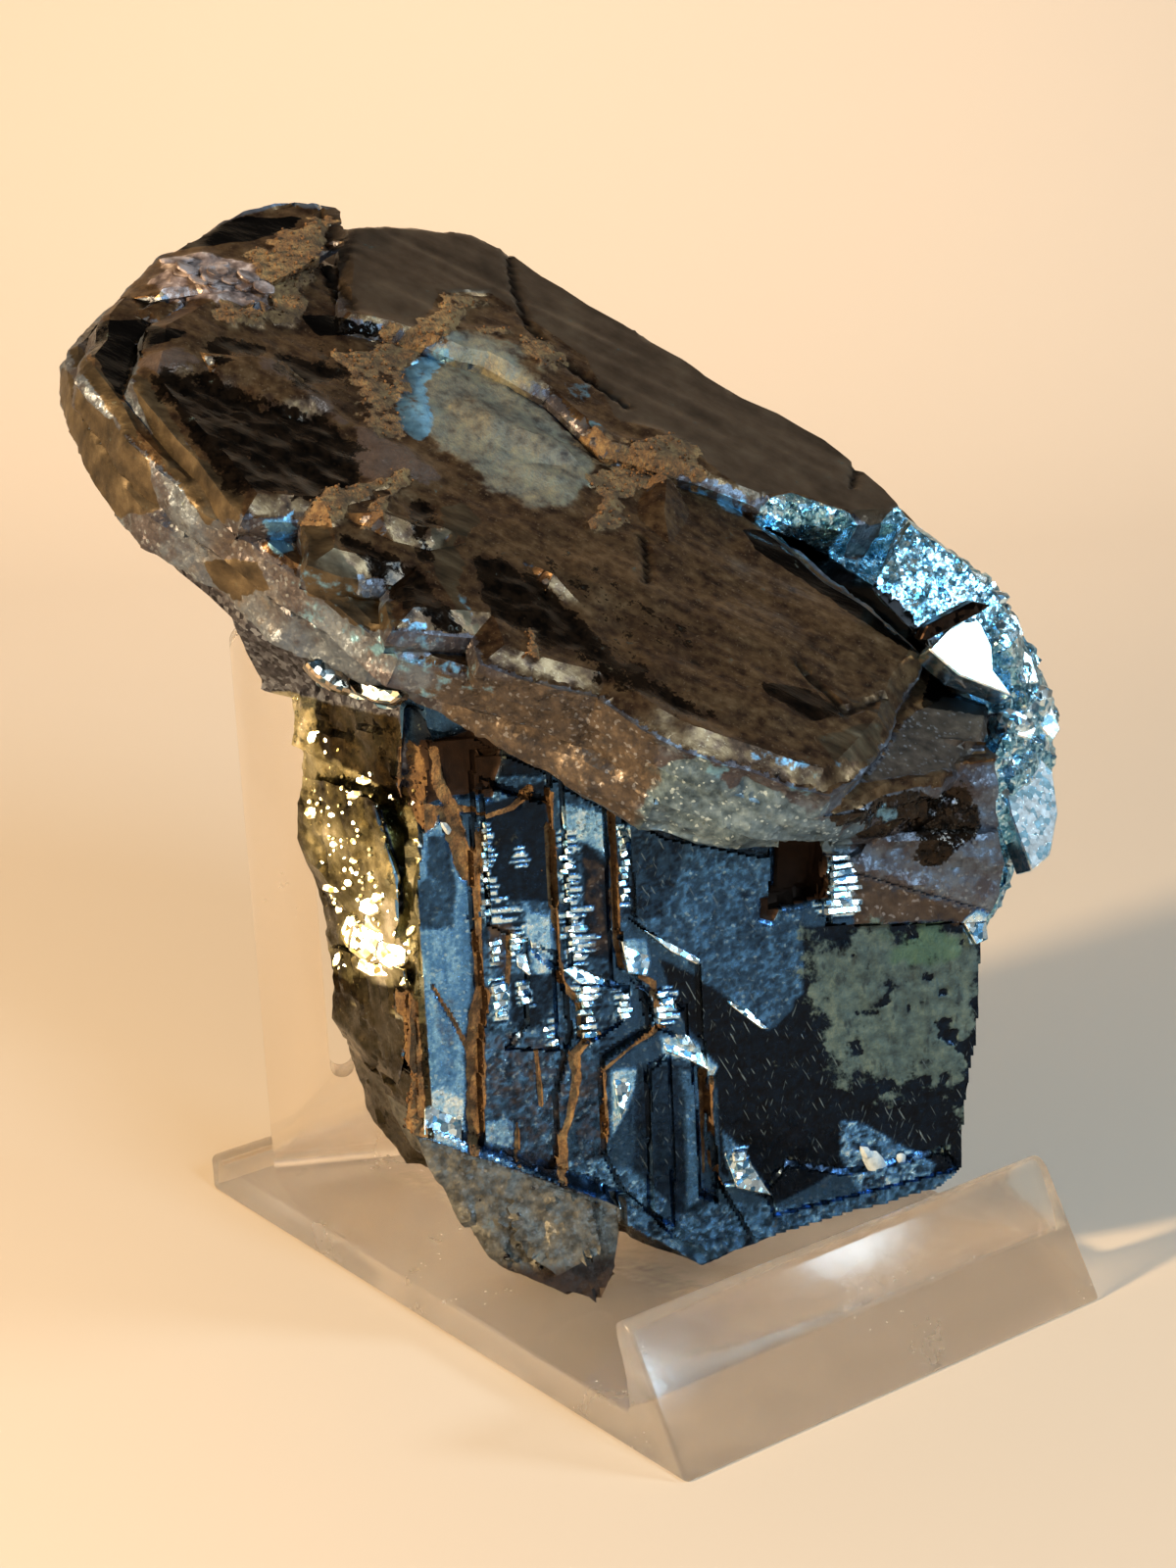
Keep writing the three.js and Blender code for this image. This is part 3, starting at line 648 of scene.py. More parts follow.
# Which finish lies where on the stone, from where its points are in the wall's frame (along, up, out) and
# in the cap's (along, to the rear, out of the top)
def stoneFields(points, normals):
    s, z, n = toWall(points)
    u, v, w = toCap(points)
    up = normals @ capAxes[2]
    out = normals @ wallAxes[2]
    left = -normals[:, 0]
    underCap = before("capBottom", w)
    fangLine = 17.9 - 0.41 * (s + 26.8)
    fields = {}

    def add(name, values):
        fields[name] = np.maximum(fields.get(name, 0), values)

    lowest = np.where(s < -9.6, past("fangTop", z - fangLine), 1.0)
    fields["wall"] = ramp(out, 0.7, 0.85) * past("wallDepth", n) * underCap * lowest
    foot = ramp(out, 0.0, 0.15) * past("footLeft", s) * before("footTop", z) * past("footDepth", n)
    add("wall", foot)
    sides = ramp(out, -0.5, -0.3) * (1 - ramp(out, 0.7, 0.85)) * past("sideDepth", n) * underCap * lowest
    sides = sides * past("sideLeft", s)
    add("wall", sides)
    fields["fang"] = before("fangTop", z - fangLine) * before("fangRight", s) * past("fangDepth", n)
    fields["gold"] = ramp(left, 0.3, 0.55) * before("goldRight", s) * underCap * past("goldDepth", n)
    beside = before("besideRight", s) * past("goldDepth", n) * (1 - ramp(out, 0.8, 0.95)) * underCap
    fields["gold"] = np.maximum(fields["gold"], beside) * (1 - fields["fang"]) * before("goldTop", z)
    fields["goldShade"] = fields["gold"] * zoneField(n, z, goldShadeZones, points, 0.6, 0.7, 77)
    top = ramp(up, 0.6, 0.85) * past("capFace", w)
    onTop = past("capUpper", w) * ramp(up, 0.1, 0.4)
    clusterSide = past("clusterLeft", s) * before("clusterFront", n) * past("clusterFoot", z)
    clusterTop = zoneField(u, v, capZones["cluster"], points, 0.3, 0.25, 5) * past("clusterBottom", w)
    clusterTop = np.maximum(clusterTop, past("proud", w) * past("proudAlong", u) * before("proudBack", v))
    mauve = zoneField(u, v, capZones["mauve"], points, 0.3, 0.2, 6) * past("clusterBottom", w)
    fields["cluster"] = np.maximum(clusterTop, clusterSide * (1 - top * ramp(32 - u, 0, 2))) * (1 - mauve)
    fields["rugged"] = fields["cluster"] * past("ruggedLeft", s)
    fields["top"] = top * (1 - fields["cluster"]) * (1 - mauve)
    rimHere = (1 - underCap) * (1 - top) * (1 - fields["cluster"])
    fields["rim"] = rimHere
    fields["tip"] = rimHere * before("tipRight", u) * ramp(up, 0.1, 0.35)
    for name, soft, ragged in (("black", 1.4, 1.2), ("ink", 0.2, 0.12), ("taupe", 1.2, 1.2),
                               ("bronze", 0.2, 0.15), ("pale", 1.4, 1.5), ("azure", 0.7, 0.9),
                               ("mica", 0.5, 0.5), ("rear", 0.3, 0.15)):
        fields[name] = onTop * zoneField(u, v, capZones[name], points, soft, ragged, 17 + len(name))
    x, y = toSight(points)
    toEye = cameraView["place"] - points
    facing = np.einsum("ij,ij->i", normals, toEye / np.linalg.norm(toEye, axis=1)[:, None])
    seen = ramp(facing, 0.05, 0.2) * (1 - underCap)
    fields["soil"] = np.zeros(len(points))
    for name, outlines in sightZones.items():
        soft, ragged = sightEdges.get(name, sightEdges["other"])
        zones = [(outline, 1.0) for outline in outlines]
        add(name, seen * zoneField(x, y, zones, points, soft, ragged, 13 + len(name)))
    fields["cluster"] *= 1 - fields["ink"]
    onRim = rimHere * (1 - fields["tip"])
    for name in ("mauve", "black", "azure"):
        add(name, onRim * zoneField(u, w, rimZones[name], points, 0.8, 1.4, 61))
    fields["sage"] = onRim * zoneField(u, w, rimZones["sage"], points, 0.8, 1.2, 63)
    onWall = fields["wall"]
    for name in ("crust", "moss", "umber"):
        fields[name] = onWall * zoneField(s, z, wallZones[name], points, *wallEdges[name], 27)
    add("umber", 0.62 * fields["fang"] * before("fangTip", z))
    speckled = ramp(layeredNoise(points, 1.3, 29, 4) + 0.05 * (s - 13) - 0.06 * (z - 23), 0.4, 0.85)
    fields["crust"] *= 1 - 0.95 * speckled
    add("mauve", mauve)
    add("mauve", onWall * zoneField(s, z, wallZones["mauve"], points, 0.4, 0.6, 33))
    fields["tone"] = onWall * wallToneAndHighlightField(s, z, points) + (1 - onWall) * 0.3
    fields["tone"] *= 1 - 0.75 * sides
    fields["navy"] = onWall * past("navyLeft", s) * past("navyFoot", z)
    soilTop = np.maximum(fields["soil"], onTop * zoneField(u, v, capZones["soil"], points, 0.9, 1.1, 31))
    soilWall = soilLines(s, z, wallSoil, points, 41) * onWall
    seam = ramp(n + 0.8 * layeredNoise(points, 2.0, 43), -5.8, -5.0) * before("seamRight", s) * underCap
    seam = seam * (1 - fields["fang"]) * np.maximum(1 - ramp(z, 28, 31), ramp(z, 43, 46))
    soilWall = np.maximum(soilWall, seam)
    loose = ramp(layeredNoise(points, 9.0, 51), 0.25, 0.8) * ramp(-normals @ capAxes[1], -0.3, 0.6)
    behind = before("rearDepth", n)
    fields["soil"] = np.maximum.reduce([soilTop, soilWall, 0.62 * loose * behind * underCap])
    fields["behind"] = behind * underCap
    lines = np.min([distanceToLine(u, v, line) for line in capCracks], axis=0)
    fields["crack"] = onTop * (1 - ramp(lines, 0.15, 0.5))
    return fields


# Fine relief of the crystal faces, in millimetres along the surface's normal
def stoneRelief(points, fields):
    u, v, w = toCap(points)
    s, z, n = toWall(points)
    striae = softNoise(np.stack([u / 11, v / 0.9, w / 2], axis=1), 1.0, 61)
    coarse = facetNoise(points, 3.4, 63)[0]
    fine = facetNoise(points, 1.4, 65)[0]
    rough = layeredNoise(points, 1.6, 67)
    waves = layeredNoise(points, 9.0, 69, 2)
    lumps = layeredNoise(points, 4.0, 70, 2)
    columns = softNoise(np.stack([s / 1.0, z / 14, n / 3], axis=1), 1.0, 71)
    layers = softNoise(np.stack([u / 14, v / 14, w / 1.1], axis=1), 1.0, 73)
    relief = fields["rim"] * (0.12 * rough + 0.3 * fine + 0.42 * layers + 0.22 * lumps)
    relief *= 1 - 0.8 * fields["bronze"]
    relief += fields["top"] * (0.09 * striae + (0.34 * waves + 0.16 * lumps) * (1 - fields["rear"]))
    relief -= fields["black"] * fields["top"] * (0.22 + 0.2 * rough)
    relief += fields["taupe"] * (0.2 + 0.2 * rough)
    relief += fields["pale"] * (0.2 + 0.16 * rough)
    relief += fields["mica"] * (0.3 + 0.5 * coarse)
    relief += fields["wall"] * (0.05 * columns + 0.04 * rough + 0.16 * (fields["tone"] - 0.4))
    relief += fields["crust"] * (0.16 + 0.07 * rough)
    relief -= fields["umber"] * 0.5
    ribs = np.sin(n * 8.0) * ramp(z, 26, 27.5) * (1 - ramp(z, 29, 30.5))
    relief += fields["gold"] * (0.9 * coarse + 0.25 * fine + 0.2 * ribs)
    relief += fields["fang"] * (0.8 * coarse + 0.2 * fine + 0.08 * rough)
    relief += fields["cluster"] * (0.25 * coarse + 0.3 * fine + 0.1 * rough)
    relief += fields["rugged"] * (1.0 * coarse + 0.5 * fine)
    relief += fields["behind"] * (1.5 * coarse + 0.35 * fine)
    earth = ramp(fields["soil"], 0.4, 0.75)
    proud = np.where(fields["wall"] > 0.5, -0.14, 0.25)
    relief = relief * (1 - 0.5 * earth) + earth * (proud + 0.3 * rough)
    return relief - 0.35 * fields["crack"]


def keptClear(points):
    s, z, n = toWall(points)
    points[:, 2] = np.maximum(points[:, 2], stone["restLevel"])
    low = (z < stone["uprightTop"]) & (s < stone["uprightSide"])
    push = np.where(low, np.maximum(stone["uprightFace"] - n, 0), 0)
    return points + push[:, None] * wallAxes[2]


def stoneBody():
    piece = copyOfNode("iron_rose", "rose_body")
    applyModifier(piece, "REMESH", mode="SHARP", octree_depth=stone["octreeDepth"],
                  scale=stone["gridScale"], sharpness=1.0, use_remove_disconnected=False)
    mesh = piece.data
    points = vertexArray(mesh) / mm
    normals = vertexArray(mesh, "normal")
    fields = stoneFields(points, normals)
    relief = stoneRelief(points, fields) - stone["sunk"] * fields["wall"]
    writeVertices(mesh, keptClear(points + normals * relief[:, None]) * mm)
    writeFields(mesh, fields)
    print("stone:", triangles(mesh), "triangles")
    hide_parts("iron_rose")
    finishPiece(piece, hematite(), stone["creaseAngle"])
    return piece


# A finely divided skin over the front wall, for its narrow columns and crevices
wallSkin = {
    "along": (-27.6, 24.4), "up": (6.5, 51.0), "pitch": 0.22, "from": 3.0, "reach": 9.0, "depth": 0.45,
    "facing": 0.9, "leastShare": 0.35,
}


def castOntoWall(s, z):
    source = copyOfNode("iron_rose", "measured")
    corners = [list(face.vertices) for face in source.data.polygons]
    tree = BVHTree.FromPolygons([vertex.co.copy() for vertex in source.data.vertices], corners)
    bpy.data.objects.remove(source, do_unlink=True)
    onPlane = wallFrame["foot"] + np.outer(s, wallAxes[0]) + np.outer(z, wallAxes[1])
    starts = onPlane + wallSkin["from"] * wallAxes[2]
    into = Vector(-wallAxes[2])
    points = starts.copy()
    normals = np.tile(wallAxes[2], (len(s), 1))
    found = np.zeros(len(s), bool)
    for index, start in enumerate(starts * mm):
        hit, normal, face, distance = tree.ray_cast(Vector(start), into, wallSkin["reach"] * mm)
        if hit and normal.dot(into) < -wallSkin["facing"]:
            found[index] = True
            points[index] = np.array(hit) / mm
    return points, normals, found


def skinOfWall():
    (left, right), (low, high), pitch = wallSkin["along"], wallSkin["up"], wallSkin["pitch"]
    clearSelection()
    bpy.ops.mesh.primitive_grid_add(x_subdivisions=round((right - left) / pitch),
                                    y_subdivisions=round((high - low) / pitch), size=1.0)
    piece = bpy.context.object
    piece.name = piece.data.name = "wall_skin"
    grid = vertexArray(piece.data) + 0.5
    s, z = left + grid[:, 0] * (right - left), low + grid[:, 1] * (high - low)
    points, normals, found = castOntoWall(s, z)
    fields = stoneFields(points, normals)
    relief = stoneRelief(points, fields)
    writeVertices(piece.data, (points + normals * relief[:, None]) * mm)
    writeFields(piece.data, fields)
    makeActive(piece)
    bpy.ops.object.mode_set(mode="EDIT")
    bpy.ops.mesh.select_mode(type="VERT")
    bpy.ops.mesh.select_all(action="DESELECT")
    bpy.ops.object.mode_set(mode="OBJECT")
    piece.data.vertices.foreach_set("select", ~(found & (fields["wall"] > wallSkin["leastShare"])))
    bpy.ops.object.mode_set(mode="EDIT")
    bpy.ops.mesh.delete(type="VERT")
    bpy.ops.object.mode_set(mode="OBJECT")
    into = Vector(-wallAxes[2] * wallSkin["depth"] * mm)
    edited(lambda: bpy.ops.mesh.extrude_region_move(TRANSFORM_OT_translate={"value": into}),
           lambda: bpy.ops.mesh.normals_make_consistent(inside=False))
    print("wall skin:", triangles(piece.data), "triangles")
    finishPiece(piece, hematite(), stone["creaseAngle"])


# Single bright facets on the wall: how far out the face below is, how far the facet leans up, its outline
wallFacets = [
    (-1.7, 24, [(-13.7, 31.5), (-11.8, 32.0), (-9.9, 30.5), (-10.6, 29.8), (-12.5, 30.2)]),
    (-2.7, 22, [(-17.3, 32.8), (-15.1, 32.7), (-15.4, 31.3), (-16.5, 30.9), (-17.4, 31.8)]),
    (-2.7, 14, [(-16.3, 36.4), (-14.4, 36.0), (-14.5, 33.1), (-16.2, 33.3)]),
    (-1.7, 20, [(-13.1, 45.6), (-9.8, 44.6), (-10.0, 41.2), (-11.3, 42.8), (-13.1, 43.6)]),
    (-0.8, 19, [(-8.8, 33.8), (-7.0, 33.8), (-6.6, 31.8), (-7.1, 30.7), (-8.6, 31.1)]),
    (-0.8, 24, [(-5.8, 24.7), (-3.8, 24.5), (-1.6, 22.5), (-2.1, 21.7), (-3.9, 23), (-5.6, 23.9)]),
    (-0.8, 18, [(-4.9, 25.8), (-3.6, 25), (-3.1, 23.9), (-4.5, 24.4)]),
    (-0.8, 19, [(-10.1, 22.5), (-8.5, 22.5), (-8.7, 20.7), (-9.9, 18.3)]),
    (-0.1, 20, [(-7.0, 34.9), (-4.8, 33.5), (-2.6, 31.9), (-2.9, 31.5), (-5.0, 32.9)]),
    (-0.1, 20, [(-1.6, 29.5), (0.2, 28.4), (2.8, 25.3), (2.2, 25.4), (-0.2, 27.7)]),
    (-0.1, 16, [(-1.2, 16.6), (0.3, 14.9), (2.5, 10.4), (-0.4, 11.5), (-1.1, 14.3)]),
    (-3.6, 15, [(-25.7, 19.5), (-24.1, 20.6), (-22.6, 19.5), (-22.9, 15.9), (-26, 17.1)]),
    (0.6, 16, [(19.2, 33.6), (21.2, 35.3), (21.2, 31.8), (20.1, 31.5)]),
    (-2.0, 20, [(-13.6, 11.6), (-9.9, 10.1), (-9.8, 9.3), (-13.5, 10.9)]),
]


# How much a ledge varies: shares of its ladder's width and pitch, millimetres and degrees
ledge = {
    "width": (0.45, 1.3), "height": (0.6, 1.0), "depth": 0.9, "tilt": (19, 31), "swing": (4, 15), "seed": 7,
    "aside": (-0.25, 0.25), "sunk": (0.0, 0.25), "roll": (-0.1, 0.1),
}


def modelLedge():
    bpy.ops.mesh.primitive_cube_add(size=1.0)
    edited(lambda: bpy.ops.mesh.bevel(offset=0.12, segments=1))
    return bpy.context.object


def wallLedges():
    rng = np.random.default_rng(ledge["seed"])
    matrices = []
    for along, out, width, low, high, rungs in growthLadders:
        pitch = (high - low) / rungs
        for rung in range(rungs):
            wide = width * rng.uniform(*ledge["width"])
            tilt = math.radians(rng.uniform(*ledge["tilt"]))
            at = (along + rng.uniform(*ledge["aside"]), low + pitch * (rung + 0.5),
                  out - rng.uniform(*ledge["sunk"]))
            swing = Matrix.Rotation(math.radians(rng.uniform(*ledge["swing"])), 4, "Y")
            roll = Matrix.Rotation(rng.uniform(*ledge["roll"]), 4, "Z")
            turn = swing @ Matrix.Rotation(-tilt, 4, "X") @ roll
            size = (wide, pitch * rng.uniform(*ledge["height"]), ledge["depth"])
            matrices.append(inCrystal(wallMatrix, at, turn, size))
    finishPiece(scatteredCopies("growth_ledges", modelLedge(), matrices), crystal("bright"))


# A thin facet: an outline drawn on a disc's rim, extruded, bevelled and leaned
def modelFacet(outline, thick, bevel):
    bpy.ops.mesh.primitive_circle_add(vertices=len(outline), radius=1.0, fill_type="NGON")
    facet = bpy.context.object
    middle = np.mean(outline, axis=0)
    corners = np.array(outline) - middle
    area = sum(a[0] * b[1] - b[0] * a[1] for a, b in zip(corners, np.roll(corners, -1, axis=0)))
    if area < 0:
        corners = corners[::-1]
    writeVertices(facet.data, np.column_stack([corners, np.zeros(len(corners))]))
    edited(lambda: bpy.ops.mesh.extrude_region_move(TRANSFORM_OT_translate={"value": (0, 0, thick)}),
           lambda: bpy.ops.mesh.normals_make_consistent(inside=False),
           lambda: bpy.ops.mesh.bevel(offset=bevel, segments=1))
    return facet, middle


facetProud = 0.22        # how far a facet stands out of the face it lies on


def placedFacet(outline, crystalMatrix, out, lean, thick=0.9, bevel=0.07, swing=9.0):
    clearSelection()
    facet, middle = modelFacet(outline, thick, bevel)
    turn = Matrix.Rotation(math.radians(swing), 4, "Y") @ Matrix.Rotation(-math.radians(lean), 4, "X")
    sunk = Matrix.Translation((0, 0, facetProud - thick))
    place = crystalMatrix @ Matrix.Translation((*middle, out)) @ turn @ sunk
    facet.data.transform(Matrix.Scale(mm, 4) @ place)
    return facet


def joinedPiece(parts, name):
    clearSelection()
    for part in parts:
        part.select_set(True)
    bpy.context.view_layer.objects.active = parts[0]
    bpy.ops.object.join()
    parts[0].name = parts[0].data.name = name
    parts[0].matrix_world = Matrix.Identity(4)
    return parts[0]


def brightFacets():
    parts = [placedFacet(outline, wallMatrix, out, lean) for out, lean, outline in wallFacets]
    finishPiece(joinedPiece(parts, "growth_facets"), crystal("bright"))


# The mirror-bright faces of the right-hand crystals, the largest first: out, lean, swing and outline
mirror = (2.6, 0.12)     # thickness and bevel
rightFaces = [
    (-5.9, 31, 22, [(17.8, 55.4), (21.2, 57.3), (23.4, 57.4), (23.8, 54.6), (23.2, 52.6), (24.2, 50.2),
      (19.8, 52.8)]),
    (-5.4, 24, 18, [(24.5, 45.3), (27.4, 46.2), (29.3, 43.5), (28.9, 40), (27.2, 36.6), (25.1, 35.6),
      (24.4, 40.6)]),
    (-8.2, 28, 12, [(27.2, 50.4), (29.2, 49.2), (29.7, 46.5), (28.7, 45.6), (27.7, 47.3)]),
    (-6.0, 26, 12, [(24.3, 48.4), (26, 48.9), (27.4, 47.6), (26.6, 46.5), (24.5, 47.4)]),
    (-8.4, 26, 26, [(26.1, 54.8), (27.8, 52.9), (27.8, 50.6), (26, 50.7), (25.6, 52.7)]),
    (-9.4, 28, 20, [(25.2, 57.1), (26.7, 56.3), (27.0, 54.6), (25.9, 54.2), (24.8, 56.1)]),
    (-9.6, 34, 16, [(20.4, 59.8), (22.8, 60.6), (24.4, 59.6), (23.2, 58.2), (21.2, 58.4)]),
]
# The dark bar above them, and the lumps beside them as place and size
darkBar = {
    "outline": [(17.2, 56.0), (17.9, 57.2), (22.0, 58.7), (23.6, 58.2), (22.4, 57.6), (18.0, 56.0)],
    "out": -5.9, "lean": 6, "sheet": (1.4, 0.12),
}
brightLumps = [
    ((28.2, 49.2, -8.4), (2.2, 3.0, 1.8)), ((25.4, 48.0, -6.2), (3.4, 2.4, 1.6)),
    ((27.4, 42.6, -7.6), (2.0, 3.2, 1.6)), ((26.4, 38.2, -7.6), (2.2, 3.0, 1.6)),
    ((25.6, 54.4, -8.6), (1.7, 3.2, 1.5)), ((28.2, 45.6, -8.2), (1.7, 2.6, 1.5)),
    ((26.8, 51.8, -8.6), (1.6, 2.0, 1.4)), ((25.2, 44.6, -6.6), (1.5, 2.0, 1.3)),
    ((24.9, 58.0, -9.4), (1.8, 1.4, 1.4)), ((28.0, 37.2, -9.0), (1.8, 2.4, 1.4)),
    ((-28.0, 54.2, -10.2), (3.4, 1.3, 2.6)), ((-26.0, 54.3, -5.6), (3.0, 1.0, 2.0)),
    ((-30.4, 54.8, -12.4), (3.0, 1.3, 2.6)),
]


def rightCrystals():
    faces = [placedFacet(outline, wallMatrix, out, lean, *mirror, swing)
             for out, lean, swing, outline in rightFaces]
    finishPiece(joinedPiece(faces, "mirror_faces"), crystal("mirror"))
    bar = placedFacet(darkBar["outline"], wallMatrix, darkBar["out"], darkBar["lean"], *darkBar["sheet"])
    bar.name = bar.data.name = "dark_bar"
    finishPiece(bar, crystal("dark"))
    rng = np.random.default_rng(43)
    matrices = []
    for at, size in brightLumps:
        roll = Matrix.Rotation(rng.uniform(-0.5, 0.5), 4, "Z")
        turn = roll @ Matrix.Rotation(rng.uniform(-0.4, 0.4), 4, "X")
        matrices.append(inCrystal(wallMatrix, at, turn, size))
    finishPiece(scatteredCopies("bright_lumps", modelGrain(), matrices), crystal("bright"), 20)


# Glints of the gold-coloured left side: outward place and height, then how wide and how high
goldGlints = [
    ((-9.0, 32.9), (5.4, 4.2)), ((-10.6, 33.4), (3.4, 3.4)), ((-7.0, 32.4), (3.6, 3.0)),
    ((-8.6, 34.6), (3.4, 2.2)), ((-8.2, 30.9), (4.0, 1.6)), ((-7.6, 36.0), (2.4, 1.7)),
    ((-9.8, 46.7), (1.8, 0.9)), ((-8.4, 45.8), (1.7, 0.8)), ((-7.3, 45.1), (1.0, 0.6)),
    ((-13.2, 42.8), (1.4, 1.2)), ((-13.0, 49.4), (0.9, 1.3)), ((-11.0, 40.6), (0.9, 0.6)),
    ((-9.1, 39.8), (0.9, 0.7)), ((-6.7, 37.3), (1.2, 1.0)), ((-11.8, 36.8), (2.0, 0.8)),
    ((-9.6, 37.6), (0.9, 0.7)), ((-8.4, 41.6), (0.7, 0.6)), ((-12.6, 34.4), (0.8, 1.2)),
    ((-10.6, 43.4), (0.7, 0.5)), ((-7.2, 39.0), (0.6, 0.8)), ((-12.2, 30.2), (0.7, 1.6)),
    ((-6.0, 34.8), (0.8, 1.8)),
]

# Smaller ones strewn about all but the first, large ones
smallSparks = {"after": 5, "each": 5, "spread": 1.1, "size": (0.18, 0.5)}


def leftGlints(body):
    points = vertexArray(body.data)
    s, z, n = toWall(points / mm)
    away = np.where(readField(body.data, "gold") > 0.6, 0, 99.0)
    lamp = Vector(lamps[0]["at"])
    eye = Vector(cameraView["place"]) * mm
    rng = np.random.default_rng(53)
    sparks = list(goldGlints)
    for at, size in goldGlints[smallSparks["after"]:]:
        for spark in range(smallSparks["each"]):
            sparks.append((np.array(at) + rng.normal(0, smallSparks["spread"], 2),
                           rng.uniform(*smallSparks["size"], 2)))
    matrices = []
    for at, size in sparks:
        near = np.argmin(np.hypot(n - at[0], z - at[1]) + away)
        place = Vector(points[near])
        facing = ((lamp - place).normalized() + (eye - place).normalized()).normalized()
        place += facing * 0.12 * min(size) * mm
        facing = (facing + Vector(rng.normal(0, 0.02, 3))).normalized()
        shape = Matrix.Diagonal((size[0] * mm, size[1] * mm, min(0.9, 0.6 + size[1] / 4) * mm, 1))
        side = Vector((0, 0, 1)).cross(facing).normalized()
        turn = Matrix((side, facing.cross(side), facing)).transposed().to_4x4()
        turn = turn @ Matrix.Rotation(rng.uniform(-0.5, 0.5), 4, "Z")
        matrices.append(Matrix.Translation(place) @ turn @ shape)
    finishPiece(scatteredCopies("gold_glints", modelTablet(), matrices), crystal("gold"))


# Two lens-shaped pieces below the cap's left rim, as seen from the front left, and the lamp each mirrors
rimLenses = [
    {"outline": [(309, 676), (326, 671), (344, 680), (354, 691), (358, 709), (336, 702), (319, 689)],
      "lamp": 1, "lean": 7},
    {"outline": [(359, 685), (377, 695), (389, 701), (410, 704), (414, 710), (402, 719), (384, 717),
      (365, 709), (356, 698)], "lamp": 0, "lean": 3},
]


def nearestSeen(points, outline):
    x, y = toSight(points)
    middle = np.mean(outline, axis=0)
    close = np.hypot(x - middle[0], y - middle[1]) < 5
    depth = (points - cameraView["place"]) @ np.array(viewAxes()[2])
    return points[np.argmin(np.where(close, depth, np.inf))]


def lensPieces(body):
    points = vertexArray(body.data) / mm
    right, up, look = (np.array(axis) for axis in viewAxes())
    eye = np.array(cameraView["place"])
    parts = []
    for lens in rimLenses:
        place = nearestSeen(points, lens["outline"])
        toLamp = np.array(lamps[lens["lamp"]]["at"]) / mm - place
        facing = toLamp / np.linalg.norm(toLamp) + (eye - place) / np.linalg.norm(eye - place)
        facing = facing / np.linalg.norm(facing)
        side = np.cross((0, 0, 1), facing)
        side = side / np.linalg.norm(side)
        above = np.cross(facing, side)
        outline = []
        for x, y in lens["outline"]:
            aside, below = x - picture["width"] / 2, y - picture["height"] / 2
            ray = look + (aside * right - below * up) / pixelsPerSlope
            spot = eye + ray * ((place - eye) @ facing / (ray @ facing)) - place
            outline.append((spot @ side, spot @ above))
        matrix = Matrix.Translation(Vector(place)) @ Matrix((side, above, facing)).transposed().to_4x4()
        parts.append(placedFacet(outline[::-1], matrix, 0.25, lens["lean"], thick=1.4, bevel=0.2, swing=0))
    finishPiece(joinedPiece(parts, "rim_lenses"), crystal("glassy"))


# Small six-sided tablets grown on the stone's broken surfaces
tablets = {
    "rugged": {"count": 170, "size": (0.5, 1.7), "seed": 11, "tilt": 0.6, "finish": "bright"},
    "fang": {"count": 26, "size": (0.3, 0.9), "seed": 17, "tilt": 0.8, "finish": "grey"},
    "behind": {"count": 220, "size": (1.4, 4.2), "seed": 23, "tilt": 0.6, "finish": "grey"},
}
chosenAbove = 0.6        # a field's least value where something may grow or lie


def modelTablet():
    bpy.ops.mesh.primitive_cylinder_add(vertices=6, radius=0.5, depth=0.34)
    edited(lambda: bpy.ops.mesh.bevel(offset=0.07, segments=1))
    return bpy.context.object


# Nothing is added this near the base, or this near the upright
clearPlace = {"above": 6, "below": 58, "behind": -26}


def isClearOfStand(point):
    s, z, n = toWall(np.array([point]))
    nearUpright = z[0] < clearPlace["below"] and n[0] < clearPlace["behind"]
    return point[2] > clearPlace["above"] and not nearUpright


def clearMatrices(matrices):
    return [matrix for matrix in matrices if isClearOfStand(matrix.translation / mm)]


# Random vertices of the stone where a field is high, with their normals
def chosenPlaces(body, field, count, rng):
    points, normals = vertexArray(body.data), vertexArray(body.data, "normal")
    candidates = np.flatnonzero(readField(body.data, field) > chosenAbove)
    chosen = rng.choice(candidates, min(count, len(candidates)), replace=False)
    return [(points[vertex], normals[vertex]) for vertex in chosen]


def tabletMatrices(body, field, entry):
    rng = np.random.default_rng(entry["seed"])
    matrices = []
    for point, normal in chosenPlaces(body, field, entry["count"], rng):
        normal = Vector(normal + rng.normal(0, entry["tilt"], 3) * 0.6).normalized()
        across = mm * rng.uniform(*entry["size"]) * rng.uniform(0.6, 1.0)
        shape = Matrix.Diagonal((across, across * rng.uniform(0.6, 1.0), across * rng.uniform(0.6, 1.3), 1))
        place = Matrix.Translation(Vector(point) - normal * across * 0.12)
        matrices.append(place @ turnedTo(normal, rng.uniform(0, math.tau)) @ shape)
    return clearMatrices(matrices)


def grownTablets(body):
    for field, entry in tablets.items():
        piece = scatteredCopies("tablets_" + field, modelTablet(), tabletMatrices(body, field, entry))
        finishPiece(piece, crystal(entry["finish"]))


# Crumbs of earth in the crevices and crusts
crumbs = {"count": 1500, "size": (0.1, 0.38), "stray": 0.3, "seed": 29}


def modelCrumb():
    bpy.ops.mesh.primitive_ico_sphere_add(subdivisions=1, radius=0.5)
    return bpy.context.object


def earthCrumbs(body):
    rng = np.random.default_rng(crumbs["seed"])
    matrices = []
    for point, normal in chosenPlaces(body, "soil", crumbs["count"], rng):
        across = mm * rng.uniform(*crumbs["size"])
        shape = Matrix.Diagonal((across, across * rng.uniform(0.6, 1.2), across * rng.uniform(0.5, 1), 1))
        place = Matrix.Translation(Vector(point + rng.uniform(-crumbs["stray"], crumbs["stray"], 3) * mm))
        matrices.append(place @ turnedTo(Vector(normal), rng.uniform(0, 6)) @ shape)
    finishPiece(scatteredCopies("earth_crumbs", modelCrumb(), clearMatrices(matrices)), earth(), 60)


